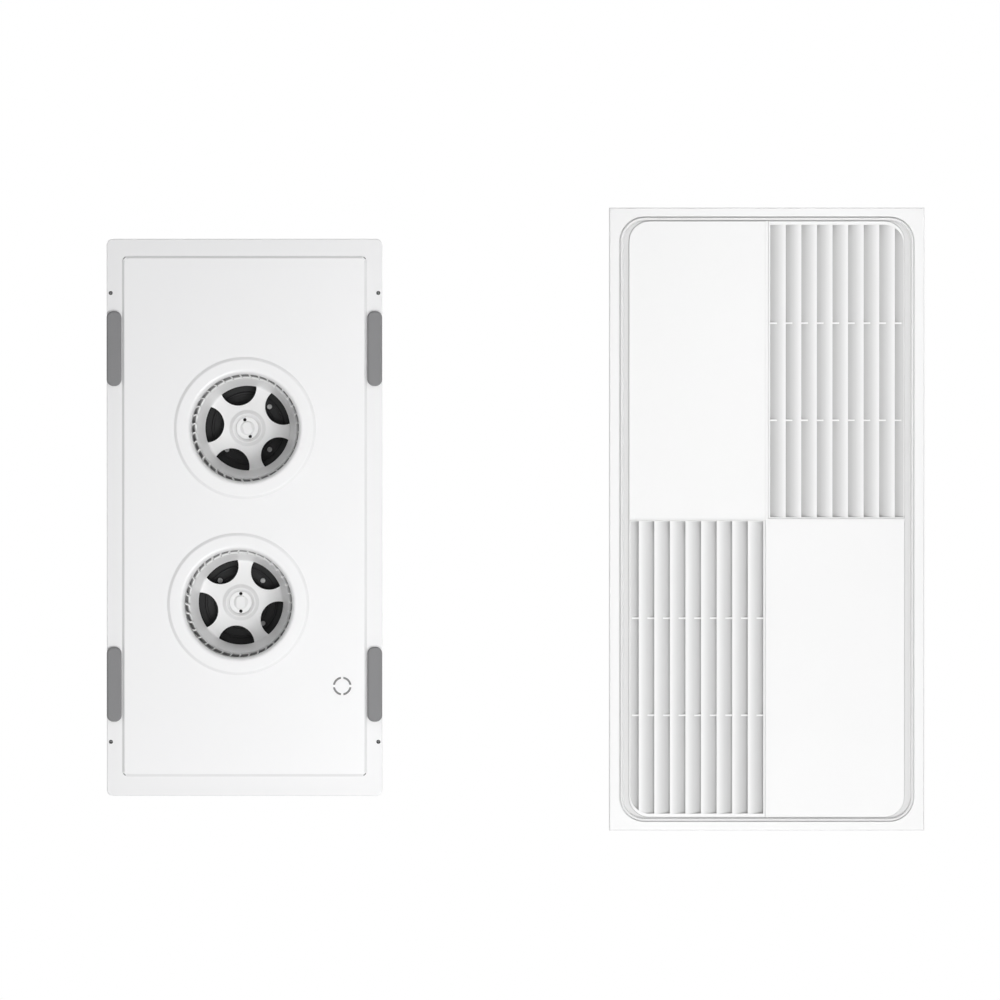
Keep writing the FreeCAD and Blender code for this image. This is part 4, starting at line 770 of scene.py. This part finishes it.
def shade_holes(piece, axis, angle):
    """Paints shade into the inside of the two spanner holes, with a dark second finish."""
    piece.data.materials.append(finishes["hole_shade"])
    for face in piece.data.polygons:
        for turned in (angle, angle + math.pi):
            across = face.center.x - axis[0] - HOLE_AT * MM * math.cos(turned)
            up = face.center.z - axis[1] - HOLE_AT * MM * math.sin(turned)
            inside = math.hypot(across, up) < (HOLE_RADIUS + HOLE_SHADE_REACH) * MM
            if inside and len(face.vertices) < BROAD_FACE:
                face.material_index = 1


# %% Wheels
for side, (hand, turned) in WHEEL.items():
    axis = AXES[side]
    holes = turned + math.radians(HOLE_ANGLE[side])
    bowl = wheel_bowl(axis, turned, holes)
    blades = grow(blade_tree, bpy.data.meshes.new("none"), **BLADES, Hand=hand, Turn=turned, Across=axis[0],
                  Up=axis[1])
    rough = bmesh.new()
    turn(rough, eased(HOOP, HOOP_ROUNDS), axis)
    rough.from_mesh(bowl)
    rough.from_mesh(blades)
    mesh = new_mesh("wheel", rough)
    wheel = hand_over(side + "_wheel", mesh, "wheel_" + side, "wheel_plastic", "fan_wheel_" + side)
    shade_holes(wheel, axis, holes)
    nut = softened("wheel_nut_" + side, NUT_ROUND)
    twist = Matrix.Rotation(math.radians(CAD_HOLE_ANGLE - HOLE_ANGLE[side]), 4, "Y")
    hub = Matrix.Translation((axis[0], 0, axis[1]))
    nut.data.transform(hub @ twist @ hub.inverted())
    shade_holes(nut, axis, holes)

# %% [markdown]
# ## Louvres
# A louvre is a light frame with upright slats. Each slat starts deep at one edge and curves forward to the
# next one, so that no line of sight passes. The rule bends a unit block: along, it follows the curve, and at
# the panel's rounded corner it is cut short. The lower louvre is the same insert, half a turn round.

# %% Slat rule
STRIDE = 10.0
SLAT_SIZES = ("Count", "Start", "Pitch", "Wall", "Underlap", "Deep", "Rise", "Crown", "Edge", "Foot", "Head")
wire, put = new_tree("slat_row", *SLAT_SIZES, "Corner", "Seat", "Aside", "Half")
along, thick, tall = position(wire)
number = wire.maths("FLOOR", along / STRIDE + 0.5)
along, thick, tall = along - number * STRIDE + 0.5, thick + 0.5, tall + 0.5
first = put["Start"] + number * put["Pitch"]
past = along * (put["Pitch"] + put["Underlap"]) - put["Underlap"]
past = wire.maths("MINIMUM", past, put["Edge"] - first)
share = wire.maths("MAXIMUM", past / put["Pitch"], 0.0)
curve = share * (4 * put["Crown"] - 1) + share * share * (2 - 4 * put["Crown"])
height = put["Deep"] + curve * put["Rise"] + thick * put["Wall"]
across = first + past
bite = wire.maths("MAXIMUM", across - put["Edge"] + put["Corner"], 0.0)
top = put["Head"] - put["Corner"] + wire.maths("SQRT", put["Corner"] * put["Corner"] - bite * bite)
level = put["Foot"] + tall * (top - put["Foot"])
across, up = put["Aside"] + put["Half"] * across, put["Half"] * level
bent = wire.node("ShaderNodeCombineXYZ", X=across, Y=put["Seat"] - height, Z=up)
strip = wire.node("GeometryNodeMeshCube", Vertices_X=25)
step = wire.node("ShaderNodeCombineXYZ", X=wire.node("GeometryNodeInputIndex") * STRIDE)
dots = wire.node("GeometryNodePoints", Count=put["Count"], Position=step)
row = wire.node("GeometryNodeInstanceOnPoints", Points=dots, Instance=strip)
row = wire.node("GeometryNodeRealizeInstances", Geometry=row)
# panel_white paints shade toward each slat's deep edge.
slat_tree = close_tree(wire.node("GeometryNodeSetPosition", Geometry=row, Position=bent), "panel_white")
print("slat rule has", len(slat_tree.nodes), "nodes")

# %% [markdown]
# Round the slats runs the insert's thin frame, and two ties hold them at a third of their length each.

# %% Louvres
PANEL_SEAT = -136.8
EDGE, HEAD, CORNER = 131.8, 285.4, 19.4
SLACK, HEADROOM = 0.1, 2.4
ROW = {"Count": 9, "Start": 3.2 * MM, "Pitch": 14.93 * MM, "Wall": 1.8 * MM, "Underlap": 1.5 * MM}
ROW.update({"Deep": 3.2 * MM, "Rise": 6.6 * MM, "Crown": 0.72, "Edge": (EDGE - SLACK) * MM, "Foot": 1.1 * MM})
ROW.update({"Head": (HEAD - HEADROOM) * MM, "Corner": (CORNER - SLACK) * MM})
ROW.update({"Seat": PANEL_SEAT * MM, "Aside": PANEL_AT * MM})
# Each outline's inset, left side, foot and drop of the head.
RIM_OUTSIDE, RIM_INSIDE = (0, 1.6, 1.0), (0.9, 3.2, 1.9, 2.3)
RIM_LOW, RIM_HIGH, TIE_HIGH = 3.0, 11.6, 9.3
TIES, TIE_ENDS, TIE_WIDTH = (94.1, 187.2), (1.8, 131.5), 1.5


def quarter(inset, left, foot, drop=0.0, steps=10):
    """An insert's outline in the upper right quarter: straight sides and one round corner under its head."""
    radius = CORNER - inset
    middle = EDGE - CORNER, HEAD - CORNER - drop
    arc = [math.pi / 2 * k / steps for k in range(steps + 1)]
    corners = [(middle[0] + radius * math.cos(a), middle[1] + radius * math.sin(a)) for a in arc]
    return [(left, foot), (EDGE - inset, foot), *corners, (left, HEAD - inset - drop)]


def rim(rough, outer, inner, half):
    """A closed band between two outlines of as many corners, in the panel's place."""
    rows = []
    for outline, height in ((outer, RIM_LOW), (outer, RIM_HIGH), (inner, RIM_HIGH), (inner, RIM_LOW)):
        row = [(PANEL_AT + half * x, PANEL_SEAT - height, half * z) for x, z in outline]
        rows.append([rough.verts.new([c * MM for c in spot]) for spot in row])
    for one, two in zip(rows, rows[1:] + rows[:1]):
        band(rough, one, two)


for side, half in (("upper", 1), ("lower", -1)):
    slats = grow(slat_tree, bpy.data.meshes.new("none"), **ROW, Half=half)
    rough = bmesh.new()
    rim(rough, quarter(*RIM_OUTSIDE), quarter(*RIM_INSIDE), half)
    left, right = TIE_ENDS
    for low in TIES:
        high = low + TIE_WIDTH
        tie = [(half * x, half * z) for x, z in ((left, low), (right, low), (right, high), (left, high))]
        prism(rough, tie, PANEL_SEAT - TIE_HIGH, PANEL_SEAT - RIM_LOW, (PANEL_AT * MM, 0), 0)
    mesh = new_mesh("rim", rough)
    # The rim and ties take panel_tie, the panel's plastic without painted shade.
    hand_over(side + "_louvre_rim", mesh, "panel", "panel_white", "louvre_" + side, finish="panel_tie")
    rough = bmesh.new()
    rough.from_mesh(slats)
    hand_over(side + "_louvre_slats", new_mesh("slats", rough), "panel", "panel_white", "louvre_" + side)

# %% [markdown]
# ## Screws
# Pan-head screws hold the housing, the collar, the motors and the terminal box. Each has a domed head with a
# cross recess, left at whatever angle the driver stopped. The places, sizes and directions are read off the
# CAD screws, and one rule sets a head and a shank on each, with the heads turned at random from a fixed seed.

# %% Reading the CAD screws
SCREW_HEAD_RADIUS, SCREW_HEAD_HEIGHT = 3.0, 1.8
AT_END = 0.01 * MM


def islands(node):
    """The separate solids of a node, each as a list of its corners."""
    rough = copied(node)
    found, groups = set(), []
    for start in rough.verts:
        group, edge = [], [] if start in found else [start]
        found.update(edge)
        while edge:
            spot = edge.pop()
            group.append(spot.co.copy())
            near = [side.other_vert(spot) for side in spot.link_edges]
            edge += [each for each in near if each not in found]
            found.update(near)
        if group:
            groups.append(group)
    rough.free()
    return groups


def screw_facts(corners):
    """A screw's seat, the way its head looks, half the head's width, and the shank's radius and length."""
    low, high = (Vector([pick(c[k] for c in corners) for k in range(3)]) for pick in (min, max))
    size, middle = high - low, (low + high) / 2
    along = min(range(3), key=lambda k: abs(size[k - 1] - size[k - 2]))
    reach = {}
    for end in (low[along], high[along]):
        flat = [c - middle for c in corners if abs(c[along] - end) < AT_END]
        reach[end] = max(math.hypot(c[along - 1], c[along - 2]) for c in flat)
    head, tail = sorted(reach, key=reach.get, reverse=True)
    looks = Vector((0, 0, 0))
    looks[along] = 1 if head > tail else -1
    seat = middle.copy()
    seat[along] = head - looks[along] * SCREW_HEAD_HEIGHT * MM
    return seat, looks, size[along - 1] / 2, reach[tail], abs(seat[along] - tail)


# %% [markdown]
# The head is a low dome, turned about its own axis. A tapered cross, like the driver's tip, is cut out of it
# once, and the rule then sets that one head on every screw.

# %% A screw head
DOME = [(0.0, SCREW_HEAD_HEIGHT), (1.5, 1.74), (2.4, 1.5), (2.85, 1.1), (SCREW_HEAD_RADIUS, 0.6)]
DOME += [(SCREW_HEAD_RADIUS, 0.0), (0.0, 0.0)]
HEAD_FACETS = 32
ARM_HALF_WIDTH, ARM_REACH = 0.42, 1.75
RECESS = [(0.45, 0.5), (1.1, 2.4)]


def domed_head():
    """A plain pan head that looks along Z."""
    rough = bmesh.new()
    rows = []
    for step in range(HEAD_FACETS):
        angle = 2 * math.pi * step / HEAD_FACETS
        places = [(r * MM * math.cos(angle), r * MM * math.sin(angle), z * MM) for r, z in DOME]
        rows.append([rough.verts.new(place) for place in places])
    for one, two in zip(rows, rows[1:] + rows[:1]):
        for place in range(len(DOME) - 1):
            rough.faces.new((one[place], one[place + 1], two[place + 1], two[place]))
    bmesh.ops.remove_doubles(rough, verts=rough.verts, dist=FINE_MERGE)
    bmesh.ops.dissolve_degenerate(rough, edges=rough.edges, dist=FINE_MERGE / 2)
    return new_mesh("head", rough)


def cross_driver():
    """The tapered cross that a driver leaves: its share of the full width at two heights."""
    arm = [(ARM_HALF_WIDTH, ARM_HALF_WIDTH), (ARM_HALF_WIDTH, ARM_REACH), (-ARM_HALF_WIDTH, ARM_REACH)]
    cross = []
    for _ in range(4):
        cross += arm
        arm = [(-y, x) for x, y in arm]
    rough = bmesh.new()
    rows = []
    for share, height in RECESS:
        rows.append([rough.verts.new((x * share * MM, y * share * MM, height * MM)) for x, y in cross])
        rough.faces.new(rows[-1])
    band(rough, *rows)
    return new_mesh("cutter", rough)


recessed = cut(domed_head(), cross_driver())
print("screw head has", len(recessed.polygons), "faces")

# %% Screw rule
wire, put = new_tree("screw_set", "Seed")
wire.tree.interface.new_socket("Head", in_out="INPUT", socket_type="NodeSocketObject")
given = Wire(wire.tree, put["Seed"].socket.node.outputs["Head"])
shape = wire.node("GeometryNodeObjectInfo", out="Geometry", Object=given)
NOTES = {"looks": "FLOAT_VECTOR", "wide": "FLOAT", "girth": "FLOAT", "length": "FLOAT"}


def noted(name):
    """What the points say about their screws under a name."""
    return wire.node("GeometryNodeInputNamedAttribute", settings={"data_type": NOTES[name]}, Name=name)


upright = wire.node("FunctionNodeAlignRotationToVector", settings={"axis": "Z"}, Vector=noted("looks"))
spin = wire.node("FunctionNodeRandomValue", out=1, Max=math.pi, Seed=put["Seed"])
spin = wire.node("FunctionNodeAxisAngleToRotation", Axis=(0, 0, 1), Angle=spin)
own_axis = {"rotation_space": "LOCAL"}
spun = wire.node("FunctionNodeRotateRotation", settings=own_axis, Rotation=upright, i1=spin)
wide = noted("wide") / (SCREW_HEAD_RADIUS * MM)
scale = wire.node("ShaderNodeCombineXYZ", X=wide, Y=wide, Z=1.0)
points = put["Geometry"]
heads = wire.node("GeometryNodeInstanceOnPoints", Points=points, Instance=shape, Rotation=spun, Scale=scale)
rod = wire.node("GeometryNodeMeshCylinder", Vertices=24, Radius=1.0, Depth=1.0)
rod = wire.node("GeometryNodeTransform", Geometry=rod, Translation=(0, 0, -0.5))
scale = wire.node("ShaderNodeCombineXYZ", X=noted("girth"), Y=noted("girth"), Z=noted("length"))
shanks = wire.node("GeometryNodeInstanceOnPoints", Points=points, Instance=rod, Rotation=upright, Scale=scale)
both = wire.tree.nodes.new("GeometryNodeJoinGeometry")
for each in (heads, shanks):
    wire.tree.links.new(each.socket, both.inputs[0])
screw_tree = close_tree(Wire(wire.tree, both.outputs[0]), "steel_bright")
print("screw rule has", len(screw_tree.nodes), "nodes")

# %% Screws
SCREWED = [node for node in slot_of if "_screws" in node or node.startswith("motor_bolts")]
pattern = bpy.data.objects.new("pattern", recessed)
for seed, node in enumerate(SCREWED):
    facts = [screw_facts(corners) for corners in islands(node)]
    dots = bpy.data.meshes.new("dots")
    dots.from_pydata([seat for seat, *_ in facts], [], [])
    for place, (name, kind) in enumerate(NOTES.items(), 1):
        note = dots.attributes.new(name, kind, "POINT")
        for value, fact in zip(note.data, facts):
            setattr(value, "value" if kind == "FLOAT" else "vector", fact[place])
    mesh = grow(screw_tree, dots, Seed=seed, Head=pattern)
    mesh.set_sharp_from_angle(angle=SMOOTH)
    hand_over(node + ".finished", mesh, body_of[node], slot_of[node], node)
bpy.data.objects.remove(pattern)

# %% [markdown]
# ## Foam seal
# A thin black foam strip behind the flange seals it against the ceiling. At each screw hole it is only slit
# crosswise, and its four black flaps fill the hole as a dark stand-in for the shade a hole shows, until a
# screw pushes them aside. The holes' places are those of the mount in the record.

# %% Foam seal
SLIT, FLAP_REACH, FLAP_NEAR, FLAP_FAR, FLAP_STEPS = 0.06, 2.05, 0.25, 0.75, 8
spacing = next(mount["dims"] for mount in record["mounts"] if mount["name"] == "flange_screws")
across, up = spacing["spacing_x_mm"] / 2, spacing["spacing_y_mm"] / 2
arc = [math.pi / 2 * k / FLAP_STEPS for k in range(1, FLAP_STEPS)]
flap = [(SLIT, SLIT), (FLAP_REACH, SLIT)]
flap += [(FLAP_REACH * math.cos(a), FLAP_REACH * math.sin(a)) for a in arc]
flap += [(SLIT, FLAP_REACH)]
rough = copied("foam_seal")
# Black flaps in each flange hole stand in for the shade behind it.
for x in (-across, across):
    for z in (-up, up):
        for turned in range(4):
            prism(rough, flap, FLAP_NEAR, FLAP_FAR, (x * MM, z * MM), math.pi / 2 * turned)
hand_over("foam_strip", new_mesh("foam_strip", rough), "fan_body", "foam_black", "foam_seal")

# %% [markdown]
# ## Finish
# The Standard view transform shows colours as they are written.

# %% Finish
bpy.context.scene.view_settings.view_transform = "Standard"
